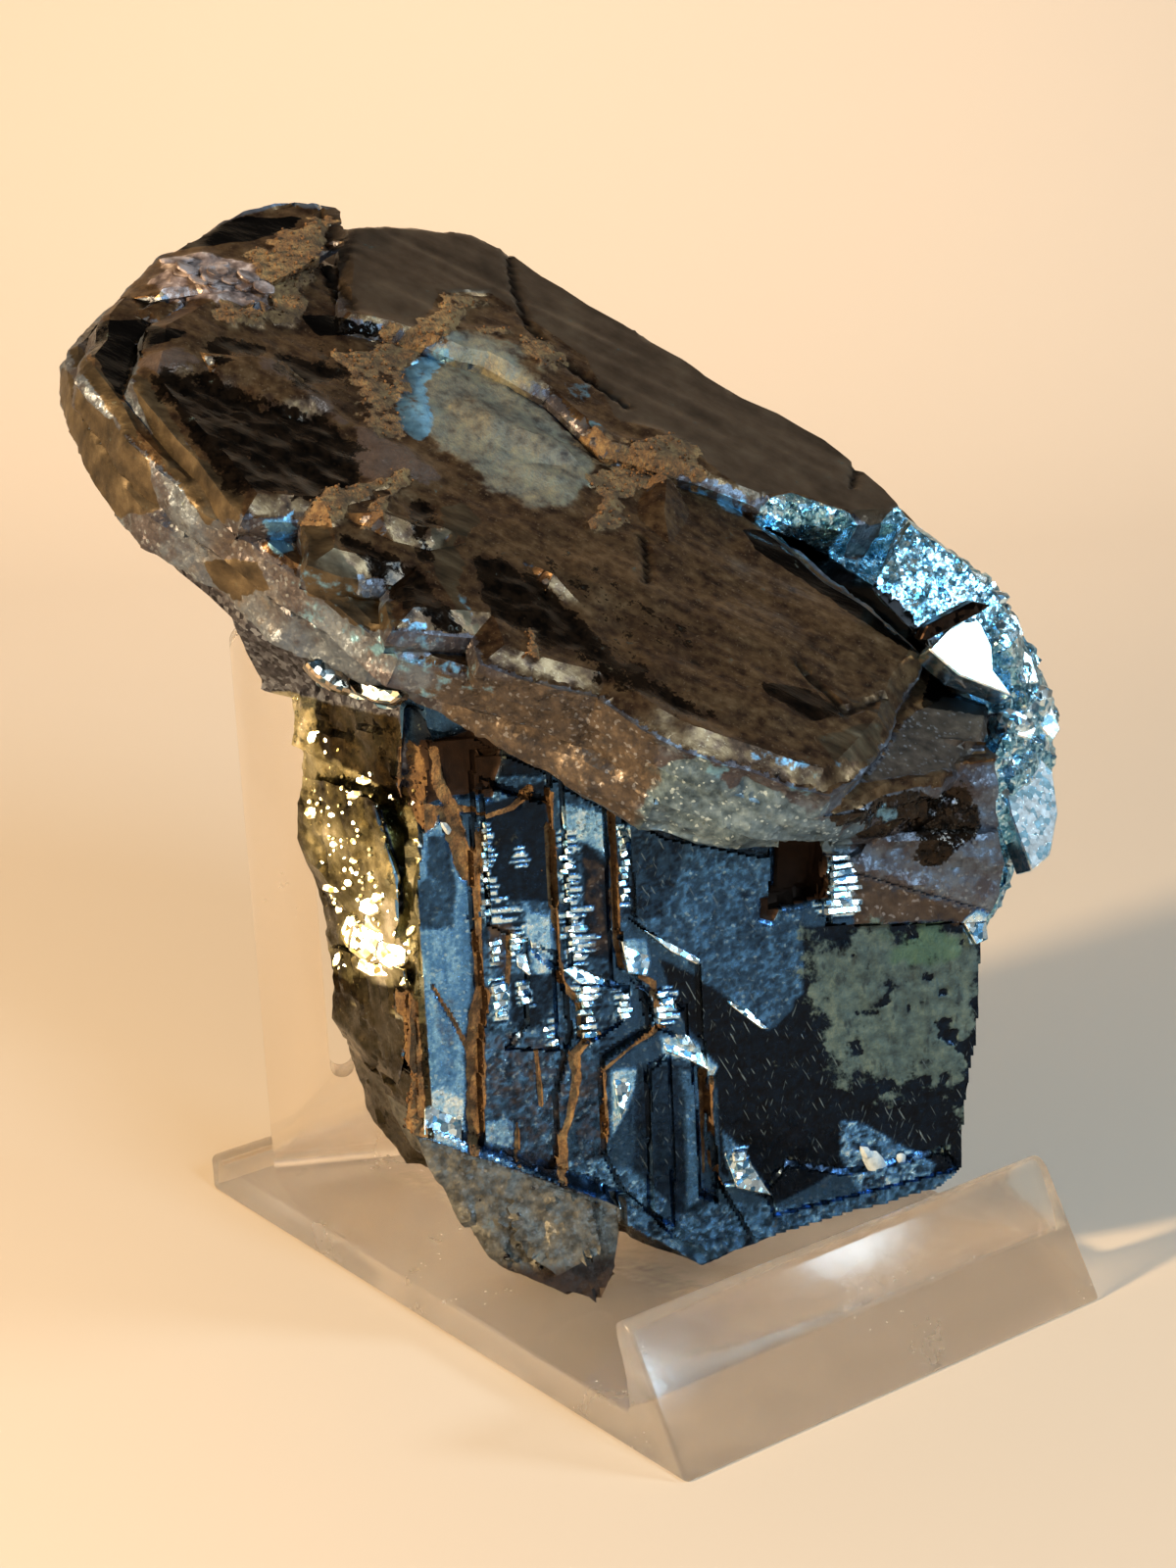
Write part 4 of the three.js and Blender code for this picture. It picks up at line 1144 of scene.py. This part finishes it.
# White grains on the wall and pale flakes on the cap's rear left
whiteGrains = [
    ((11.6, 12.4, 0.1), (2.8, 1.7, 0.8)), ((10.9, 13.3, 0.1), (1.6, 0.9, 0.8)),
    ((13.9, 12.5, 0.0), (0.8, 1.1, 0.5)), ((-22.4, 43.9, -3.4), (1.2, 0.6, 0.6)),
]
paleFlakes = {
    "count": 20, "middle": (-39.8, 28.6), "spread": (2.04, 0.84), "seed": 37,
    "size": ((1.5, 4.0), (1.0, 2.2), (0.4, 0.9)), "slant": (-39.6, 0.28), "rise": (-44, 0.1),
}


def modelGrain():
    bpy.ops.mesh.primitive_ico_sphere_add(subdivisions=2, radius=0.5)
    grain = bpy.context.object
    points = vertexArray(grain.data)
    points *= (1 + 0.7 * facetNoise(points, 0.5, 81)[0])[:, None]
    writeVertices(grain.data, points)
    return grain


def grainsAndFlakes():
    rng = np.random.default_rng(paleFlakes["seed"])
    matrices = []
    for at, size in whiteGrains:
        matrices.append(inCrystal(wallMatrix, at, Matrix.Rotation(rng.uniform(0, 3), 4, "Z"), size))
    finishPiece(scatteredCopies("white_grains", modelGrain(), matrices), quartz(), 30)
    matrices = []
    for flake in range(paleFlakes["count"]):
        along, back = (middle + rng.normal(0, 1) * spread
                       for middle, spread in zip(paleFlakes["middle"], paleFlakes["spread"]))
        back += (along - paleFlakes["slant"][0]) * paleFlakes["slant"][1]
        height = 0.1 + (along - paleFlakes["rise"][0]) * paleFlakes["rise"][1]
        at = (along, back, height + rng.uniform(-0.4, 0.1))
        turn = Matrix.Rotation(rng.normal(0, 0.18), 4, "X") @ Matrix.Rotation(rng.normal(0, 0.18), 4, "Y")
        size = [rng.uniform(*limits) for limits in paleFlakes["size"]]
        turn = turn @ Matrix.Rotation(rng.uniform(0, 3), 4, "Z")
        matrices.append(inCrystal(capMatrix, at, turn, size))
    finishPiece(scatteredCopies("pale_flakes", modelTablet(), matrices), paleMica())


# The acrylic stand

acrylicEdge = {"width": 0.35 * mm, "segments": 2, "sharpest": 40, "flatWithin": 2, "creaseAngle": 35}


def standPiece(node, name):
    piece = copyOfNode(node, name)
    applyModifier(piece, "DECIMATE", decimate_type="DISSOLVE",
                  angle_limit=math.radians(acrylicEdge["flatWithin"]))
    applyModifier(piece, "BEVEL", width=acrylicEdge["width"], segments=acrylicEdge["segments"],
                  limit_method="ANGLE", angle_limit=math.radians(acrylicEdge["sharpest"]))
    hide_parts(node)
    finishPiece(piece, acrylic(), acrylicEdge["creaseAngle"])


# Materials

def colour(code):
    channels = [int(code[k:k + 2], 16) / 255 for k in (0, 2, 4)]
    return [c / 12.92 if c <= 0.04045 else ((c + 0.055) / 1.055) ** 2.4 for c in channels] + [1.0]


# A shader value that takes ordinary arithmetic
class Wire:
    def __init__(self, finish, socket):
        self.finish = finish
        self.socket = socket

    def maths(self, operation, first, second):
        return self.finish.node("ShaderNodeMath", {"operation": operation}, {0: first, 1: second})

    def __add__(self, other):
        return self.maths("ADD", self, other)

    def __radd__(self, other):
        return self.maths("ADD", other, self)

    def __sub__(self, other):
        return self.maths("SUBTRACT", self, other)

    def __rsub__(self, other):
        return self.maths("SUBTRACT", other, self)

    def __mul__(self, other):
        return self.maths("MULTIPLY", self, other)

    def __rmul__(self, other):
        return self.maths("MULTIPLY", other, self)


class Finish:
    def __init__(self, name):
        self.material = bpy.data.materials.new(name)
        self.material.use_nodes = True
        self.tree = self.material.node_tree
        self.shader = self.tree.nodes["Principled BSDF"]
        self.place = self.node("ShaderNodeTexCoord", {}, {}, "Object")

    def node(self, kind, settings, inputs, output=0):
        node = self.tree.nodes.new(kind)
        for name, value in settings.items():
            setattr(node, name, value)
        for name, value in inputs.items():
            self.feed(node.inputs[name], value)
        return Wire(self, node.outputs[output])

    # A colour may be given as its code
    def feed(self, socket, value):
        if isinstance(value, Wire):
            self.tree.links.new(value.socket, socket)
        else:
            socket.default_value = colour(value) if isinstance(value, str) else value

    def set(self, **values):
        names = {"baseColour": "Base Color", "roughness": "Roughness", "metallic": "Metallic",
                 "normal": "Normal", "transmission": "Transmission Weight", "ior": "IOR",
                 "alpha": "Alpha", "specular": "Specular IOR Level"}
        for name, value in values.items():
            self.feed(self.shader.inputs[names[name]], value)

    def field(self, name):
        return self.node("ShaderNodeAttribute", {"attribute_name": name}, {}, "Fac")

    def noise(self, size, detail=3.0, place=None):
        return self.node("ShaderNodeTexNoise", {}, {
            "Vector": place or self.place, "Scale": 1 / (size * mm), "Detail": detail, "Roughness": 0.55})

    # Position along a crystal's own axes, squeezed by a factor along each
    def drawn(self, axes, factors):
        parts = [self.vector("DOT_PRODUCT", self.place, tuple(axis), output="Value") * factor
                 for axis, factor in zip(axes, factors)]
        return self.node("ShaderNodeCombineXYZ", {}, {0: parts[0], 1: parts[1], 2: parts[2]})

    def step(self, value, low, high):
        return self.node("ShaderNodeMapRange", {"interpolation_type": "SMOOTHSTEP"}, {
            "Value": value, "From Min": low, "From Max": high})

    def stops(self, value, *stops):
        node = self.tree.nodes.new("ShaderNodeValToRGB")
        elements = node.color_ramp.elements
        while len(elements) < len(stops):
            elements.new(0.5)
        for element, (position, code) in zip(elements, stops):
            element.position = position
            element.color = colour(code)
        self.feed(node.inputs["Fac"], value)
        return Wire(self, node.outputs["Color"])

    def mix(self, share, first, second):
        mixer = self.tree.nodes.new("ShaderNodeMix")
        mixer.data_type = "RGBA"
        self.feed(mixer.inputs["Factor"], share)
        self.feed(mixer.inputs[6], first)
        self.feed(mixer.inputs[7], second)
        return Wire(self, mixer.outputs[2])

    def blend(self, share, first, second):
        return first + share * (second - first)

    # Height in metres of flat facets of the given size that tilt at random, and their tints
    def facets(self, size, seed=0.0):
        scaled = self.vector("SCALE", self.place, scale=1 / (size * mm))
        shifted = self.vector("ADD", scaled, (seed, seed * 2, seed * 3))
        cells = self.tree.nodes.new("ShaderNodeTexVoronoi")
        self.feed(cells.inputs["Vector"], shifted)
        cells.inputs["Scale"].default_value = 1.0
        away = self.vector("SUBTRACT", shifted, Wire(self, cells.outputs["Position"]))
        tilt = self.vector("SUBTRACT", Wire(self, cells.outputs["Color"]), (0.5, 0.5, 0.5))
        height = self.vector("DOT_PRODUCT", away, tilt, output="Value")
        tints = self.tree.nodes.new("ShaderNodeSeparateColor")
        self.feed(tints.inputs["Color"], Wire(self, cells.outputs["Color"]))
        return height * (size * mm), Wire(self, tints.outputs["Red"])

    def vector(self, operation, first, second=None, scale=None, output="Vector"):
        inputs = {0: first}
        if second is not None:
            inputs[1] = second
        if scale is not None:
            inputs["Scale"] = scale
        return self.node("ShaderNodeVectorMath", {"operation": operation}, inputs, output)

    def bump(self, height, strength=1.0):
        return self.node("ShaderNodeBump", {}, {"Height": height, "Strength": strength, "Distance": 1.0})


# The wall's axes, turned in its face
def turnedAxes(along, up):
    first, second, out = wallAxes
    return np.stack([first * along - second * up, first * up + second * along, out])


def hematite():
    f = Finish("hematite faces")
    wide = f.noise(7.0)
    fine = f.noise(0.9, 4.0)
    dust = f.noise(0.28, 2.0)
    brushed = f.noise(1.1, 4.0, f.drawn(capAxes, (0.35, 1.0, 0.5)))
    drawn = f.noise(0.8, 3.0, f.drawn(wallAxes, (1.0, 0.1, 0.5)))
    blot = f.noise(1.9, 3.0)
    smudge = f.noise(0.9, 3.0, f.drawn(wallAxes, (1.0, 0.45, 1.0)))
    fleck = f.noise(0.22, 1.0, f.drawn(turnedAxes(0.44, 0.9), (0.12, 1.0, 1.0)))
    crossFleck = f.noise(0.2, 1.0, f.drawn(turnedAxes(-0.3, 0.95), (0.14, 1.0, 1.0)))
    grainHeight, grainTint = f.facets(0.42)
    chipHeight, chipTint = f.facets(0.24, 3.0)
    # Painted glints: tiny bright specks mixed into the base colour of the rim, wall, fang, mauve and sage
    # parts
    paintedGlints = f.step(chipTint, 0.9, 0.98)

    names = ("wall", "fang", "gold", "cluster", "top", "rear", "rim", "black", "ink", "taupe", "bronze",
             "pale", "azure", "mica", "mauve", "sage", "crust", "moss", "umber", "tone", "navy", "soil",
             "behind", "crack", "goldShade")
    at = {name: f.field(name) for name in names}

    grainy = wide * 0.45 + fine * 0.3 + grainTint * 0.25
    grey = f.stops(grainy, (0.36, "1e1f26"), (0.5, "4a4b54"), (0.66, "868d99"))
    rim = f.mix(f.step(wide + 0.5 * (fine - 0.5), 0.4, 0.64), "4a474c", "636e7c")
    rim = f.mix(paintedGlints * 0.3, rim, "9aa8b4")
    mottled = brushed * 0.3 + fine * 0.4 + wide * 0.3
    brown = f.stops(mottled, (0.36, "1e1611"), (0.45, "443326"), (0.54, "65513a"), (0.66, "846e53"))
    brown = f.mix(f.step(dust, 0.62, 0.7) * 0.45, brown, "8b7a63")
    clouded = brushed * 0.15 + wide * 0.5 + blot * 0.35
    rear = f.stops(clouded, (0.35, "3e352c"), (0.5, "574b3f"), (0.65, "695e50"))
    black = f.mix(brushed, "040405", "0f0d0c")
    pool = f.mix(f.step(fine, 0.35, 0.65), "0a0807", "2c2219")
    bronze = f.stops(brushed, (0.3, "2a241b"), (0.5, "4a4031"), (0.7, "655a47"))
    # The gold-coloured left side: partly a gold tarnish tint, partly painted reflection of the warm lamp,
    # up to near white
    gold = f.stops(wide + 0.3 * (fine - 0.5),
                   (0.32, "2a271a"), (0.43, "6b6648"), (0.55, "aeaa88"), (0.68, "f2efdc"))
    # Painted shade: the darker parts of the gold-coloured side turn to near-black brown
    shadowed = f.mix(f.step(fine, 0.3, 0.7), "0b0805", "2b2113")
    gold = f.mix(f.step(at["goldShade"], 0.15, 0.6) * 0.93, gold, shadowed)
    streak = (drawn - 0.5) * 0.5 + (dust - 0.5) * 0.35 + (fine - 0.5) * 0.15
    # The wall's blue steel by its tone, up to near white: partly the stone's blue tint, partly painted
    # reflection of the cool light
    steel = f.stops(at["tone"] + streak * (at["tone"] + 0.12),
                    (0.0, "070c14"), (0.14, "0e2034"), (0.36, "2b4c70"), (0.58, "4c84c0"), (0.76, "88c2f2"),
                    (0.95, "def4ff"))
    speckledHere = at["navy"] * (1 - 0.75 * f.step(at["tone"], 0.15, 0.35))
    steel = f.mix(f.step(fleck, 0.67, 0.74) * speckledHere * 0.5, steel, "8ba4b4")
    steel = f.mix(f.step(crossFleck, 0.68, 0.75) * speckledHere * 0.4, steel, "6f8797")
    steel = f.mix(paintedGlints * f.step(at["tone"], 0.2, 0.6) * 0.4, steel, "a9cfe4")
    # The granular cluster: partly a frosted blue-grey, partly painted reflection of the cool light on its
    # brightest grains
    frosted = grainTint * 0.25 + chipTint * 0.2 + fine * 0.35 + blot * 0.25
    frostAndReflection = f.stops(frosted, (0.2, "1d3a4b"), (0.4, "4a85a5"), (0.56, "93c9e2"), (0.74, "e4f8ff"))
    fang = f.mix(f.step(fine, 0.3, 0.7), "33332f", "60605a")
    fang = f.mix(paintedGlints * 0.2, fang, "8490a0")
    crust = f.stops(fine * 0.7 + wide * 0.3, (0.35, "26373b"), (0.5, "3d5254"), (0.65, "546764"))
    crust = f.mix(f.step(smudge, 0.58, 0.68) * 0.75, crust, "1b2a30")
    crust = f.mix(at["moss"] * 0.55, crust, "3f6450")
    pale = f.stops(wide * 0.5 + fine * 0.5, (0.36, "4a463f"), (0.48, "6f6b5d"), (0.6, "858068"))
    pale = f.mix(f.step(wide, 0.5, 0.7) * 0.5, pale, "6b8088")
    azure = f.mix(fine, "24485f", "84b6d2")
    taupe = f.mix(fine, "3b2f29", "75645a")
    mica = f.stops(fine, (0.35, "4f4340"), (0.55, "8b7c78"), (0.7, "c8bdbb"))
    mauve = f.stops(fine * 0.6 + wide * 0.4, (0.35, "302b28"), (0.55, "574d44"), (0.7, "776b5f"))
    mauve = f.mix(at["wall"] * 0.45, mauve, "2c2322")
    mauve = f.mix(paintedGlints * 0.4, mauve, "9a9fa8")
    sage = f.stops(fine * 0.7 + wide * 0.3, (0.35, "384a56"), (0.52, "647a88"), (0.68, "8ca2ae"))
    sage = f.mix(paintedGlints * 0.7, sage, "c0d4dc")
    earthy = fine * 0.5 + dust * 0.2 + wide * 0.3
    dirt = f.stops(earthy, (0.34, "2a1c11"), (0.5, "5d452a"), (0.66, "8a7048"))

    # How far a finish reaches: with a fine edge, in patches, or in small patches
    def reach(name, low=0.4, high=0.6, ragged=0.3):
        return f.step(at[name] + ragged * (fine - 0.5), low, high)

    def patches(name, low, high):
        return f.step(at[name] + 1.3 * (blot - 0.5) + 1.2 * (fine - 0.5), low, high)

    def smallPatches(name, low, high):
        return f.step(at[name] + 1.5 * (blot - 0.5) + 1.3 * (fine - 0.5) + 0.7 * (dust - 0.5), low, high)

    pools = smallPatches("black", 0.42, 0.72)
    crustHere = smallPatches("crust", 0.36, 0.8)
    earthHere = f.step(at["soil"] + 0.8 * (fine - 0.5) + 0.5 * (blot - 0.5), 0.48, 0.6)
    # A dark brown halo round the earth, partly painted shade along the edges of the recessed soil lines
    earthHaloAndShade = f.step(at["soil"] + 0.8 * (blot - 0.5), 0.3, 0.6) * 0.6
    layers = [(reach(name), tint) for name, tint in (
        ("rim", rim), ("top", brown), ("rear", rear), ("wall", steel), ("gold", gold), ("fang", fang),
        ("cluster", frostAndReflection), ("sage", sage))]
    layers += [
        (f.step(at["mauve"] + 0.9 * (fine - 0.5), 0.25, 0.85), mauve),
        (reach("bronze", 0.35, 0.6, 0.6), bronze),
        (reach("taupe", 0.4, 0.6, 1.2), taupe),
        (pools, pool),
        (reach("ink", 0.4, 0.6, 0.25), black),
        (patches("pale", 0.3, 1.0), pale),
        (patches("azure", 0.6, 0.95), azure),
        (reach("mica"), mica),
        (reach("umber"), f.mix(fine, "120c09", "33241b")),
        (crustHere, crust),
        (at["crack"] * 0.85, "0a0706"),
        (earthHaloAndShade, "35271c"),
        (earthHere, dirt),
    ]
    shade = grey
    for share, tint in layers:
        shade = f.mix(share, shade, tint)

    glossy = 0.32 + 0.2 * (fine - 0.5)
    for name, value in (("rim", 0.42), ("top", 0.36), ("rear", 0.4), ("wall", 0.26), ("gold", 0.2),
                        ("fang", 0.5), ("cluster", 0.24), ("bronze", 0.46), ("ink", 0.14), ("pale", 0.6),
                        ("mauve", 0.46), ("sage", 0.5), ("mica", 0.35), ("umber", 0.6)):
        glossy = f.blend(reach(name), glossy, value + 0.16 * (fine - 0.5))
    for share, value in ((pools, 0.13), (crustHere, 0.62), (earthHere, 0.92)):
        glossy = f.blend(share, glossy, value)

    def larger(first, second):
        return f.node("ShaderNodeMath", {"operation": "MAXIMUM"}, {0: first, 1: second})

    dull = larger(earthHere, crustHere * 0.7)
    for name, amount in (("pale", 0.6), ("mica", 0.8), ("taupe", 0.5), ("mauve", 0.35), ("sage", 0.35),
                         ("rim", 0.25), ("fang", 0.5), ("wall", 0.16), ("top", 0.12)):
        dull = larger(dull, at[name] * amount)

    broken = at["rim"] * (0.36 - 0.3 * at["bronze"]) + at["fang"] * 0.35
    broken = broken + at["cluster"] * 0.36 + at["behind"] * 0.7 + at["gold"] * 0.15
    height = (grainHeight * 0.7 + chipHeight * 0.6) * broken
    height = height + (brushed - 0.5) * at["top"] * (1 - 0.7 * at["rear"]) * (0.08 * mm)
    height = height + (drawn - 0.5) * at["wall"] * (0.05 * mm)
    height = height + chipHeight * at["wall"] * at["tone"] * 0.5
    dusty = earthHere + crustHere * 0.5 + at["pale"] * 0.5 + at["taupe"] * 0.6
    height = height + (dust - 0.5) * dusty * (0.16 * mm)
    f.set(baseColour=shade, roughness=glossy, metallic=1 - dull, normal=f.bump(height))
    return f.material


# Finishes of the added crystals: dark and light tint, roughness, height of their relief
crystals = {
    "bright": ("bright crystal faces", "5f93b4", "e8f8fd", 0.22, 0.25),
    "mirror": ("mirror crystal face", "a9d8ec", "f4fdff", 0.24, 0.07),
    "dark": ("dark crystal faces", "080605", "2c211a", 0.4, 0.25),
    "gold": ("gold crystal faces", "b9ae74", "fff8dc", 0.2, 0.25),
    "glassy": ("glassy pieces", "4a5a62", "a89c8c", 0.24, 0.25),
    "grey": ("grey crystal faces", "2b2a2f", "6d7680", 0.3, 0.25),
}


def crystal(kind):
    name, dark, light, roughness, relief = crystals[kind]
    f = Finish(name)
    height, tint = f.facets(0.5, 1.0)
    drawn = f.noise(0.5, 3.0)
    share = f.step(tint + 0.4 * (drawn - 0.5), 0.1, 0.7)
    f.set(baseColour=f.mix(share, dark, light), metallic=1.0,
          roughness=roughness + 0.15 * (drawn - 0.5), normal=f.bump(height * relief))
    return f.material


def earth():
    f = Finish("brown iron earth")
    tone = f.noise(0.8, 3.0)
    height = f.noise(0.2, 3.0)
    f.set(baseColour=f.mix(f.step(tone, 0.3, 0.7), "33210f", "6f5030"), roughness=0.95,
          normal=f.bump(height * (0.08 * mm)))
    return f.material


def quartz():
    f = Finish("white grains")
    tone = f.noise(0.7, 3.0)
    f.set(baseColour=f.mix(tone, "6f7f8a", "d4dede"), roughness=0.2 + 0.2 * tone,
          normal=f.bump(f.noise(0.4, 3.0) * (0.12 * mm)))
    return f.material


def paleMica():
    f = Finish("pale flakes")
    tone = f.noise(1.6, 4.0)
    f.set(baseColour=f.mix(f.step(tone, 0.35, 0.7), "5b4c47", "b9acaa"),
          roughness=0.3 + 0.3 * tone, metallic=0.3, normal=f.bump(f.noise(0.5, 3.0) * (0.1 * mm)))
    return f.material


def acrylic():
    f = Finish("clear acrylic")
    smear = f.noise(9.0, 4.0)
    scuff = f.noise(0.5, 4.0)
    f.set(baseColour="fff6ea", transmission=0.96, ior=1.49, alpha=0.78, specular=0.2,
          roughness=0.15 + 0.15 * f.step(smear, 0.45, 0.75) + 0.08 * f.step(scuff, 0.6, 0.8),
          normal=f.bump(smear * (0.1 * mm)))
    return f.material


# Floor, light and camera

studio = {
    "floorWidth": 2.4, "floorFront": -0.9, "wallAt": 0.52, "wallHeight": 0.9, "bend": 0.25,
    "bendSteps": 12, "drop": 0.01 * mm, "floorColour": "cbbfb0", "middle": (0, 0, 45 * mm),
    "worldColour": (1.0, 0.86, 0.72), "worldStrength": 0.19, "transform": "Standard",
}
lamps = [
    {"name": "warm key", "kind": "POINT", "at": (-0.44, 0.045, 0.215), "size": 0.025, "power": 18.6,
     "colour": (1.0, 0.70, 0.38)},
    {"name": "cool window", "kind": "AREA", "at": (-0.02, -0.66, 0.42), "size": 0.24, "power": 3.6,
     "colour": (0.56, 0.8, 1.0)},
    {"name": "cool side", "kind": "AREA", "at": (0.5, -0.5, 0.5), "size": 0.2, "power": 2.4,
     "colour": (0.7, 0.88, 1.0)},
    {"name": "backdrop", "kind": "SPOT", "at": (0.03, 0.04, 0.6), "aim": (0.248, 0.339, 0.03), "size": 0.1,
     "power": 11.5, "colour": (1.0, 0.76, 0.54), "cone": 58},
]


def floorAndBackdrop():
    wallAt, bend = studio["wallAt"], studio["bend"]
    profile = [(studio["floorFront"], 0.0), (wallAt - bend, 0.0)]
    for step in range(1, studio["bendSteps"] + 1):
        angle = step / studio["bendSteps"] * math.pi / 2
        profile.append((wallAt - bend + bend * math.sin(angle), bend * (1 - math.cos(angle))))
    profile.append((wallAt, studio["wallHeight"]))
    half = studio["floorWidth"] / 2
    corners = [(side, y, z - studio["drop"]) for y, z in profile for side in (-half, half)]
    faces = [(2 * k, 2 * k + 1, 2 * k + 3, 2 * k + 2) for k in range(len(profile) - 1)]
    mesh = bpy.data.meshes.new("floor")
    turn = Matrix.Rotation(-math.radians(cameraView["yaw"]), 3, "Z")
    mesh.from_pydata([turn @ Vector(c) for c in corners], [], faces)
    floor = linked(bpy.data.objects.new("floor", mesh))
    for face in mesh.polygons:
        face.use_smooth = True
    f = Finish("pale floor")
    f.set(baseColour=studio["floorColour"], roughness=0.85)
    mesh.materials.append(f.material)


def lightsAndWorld():
    for lamp in lamps:
        light = bpy.data.lights.new(lamp["name"], lamp["kind"])
        if lamp["kind"] == "AREA":
            light.shape = "DISK"
            light.size = lamp["size"]
        else:
            light.shadow_soft_size = lamp["size"]
        if lamp["kind"] == "SPOT":
            light.spot_size = math.radians(lamp["cone"])
            light.spot_blend = 1.0
        light.energy = lamp["power"]
        light.color = lamp["colour"]
        holder = linked(bpy.data.objects.new(lamp["name"], light))
        holder.location = lamp["at"]
        aim = Vector(lamp.get("aim", studio["middle"])) - holder.location
        holder.rotation_euler = aim.to_track_quat("-Z", "Y").to_euler()
    world = bpy.data.worlds.new("studio")
    world.use_nodes = True
    background = world.node_tree.nodes["Background"]
    background.inputs["Color"].default_value = (*studio["worldColour"], 1)
    background.inputs["Strength"].default_value = studio["worldStrength"]
    bpy.context.scene.world = world
    bpy.context.scene.view_settings.view_transform = studio["transform"]


def addCamera():
    right, up, look = viewAxes()
    lens = bpy.data.cameras.new("camera")
    lens.lens = cameraView["lens"]
    lens.sensor_width = picture["sensor"]
    lens.clip_start = 10 * mm
    holder = linked(bpy.data.objects.new("camera", lens))
    turn = Matrix((right, up, -look)).transposed().to_4x4()
    holder.matrix_world = Matrix.Translation(Vector(cameraView["place"]) * mm) @ turn
    bpy.context.scene.camera = holder


addCamera()
floorAndBackdrop()
lightsAndWorld()
print("studio ready")

skinOfWall()
body = stoneBody()
print("stone ready")
wallLedges()
brightFacets()
rightCrystals()
leftGlints(body)
lensPieces(body)
grownTablets(body)
earthCrumbs(body)
grainsAndFlakes()
print("crystals, earth and grains ready")
standPiece("stand_base", "clear_base")
standPiece("stand_upright", "clear_upright")
print("stand ready")
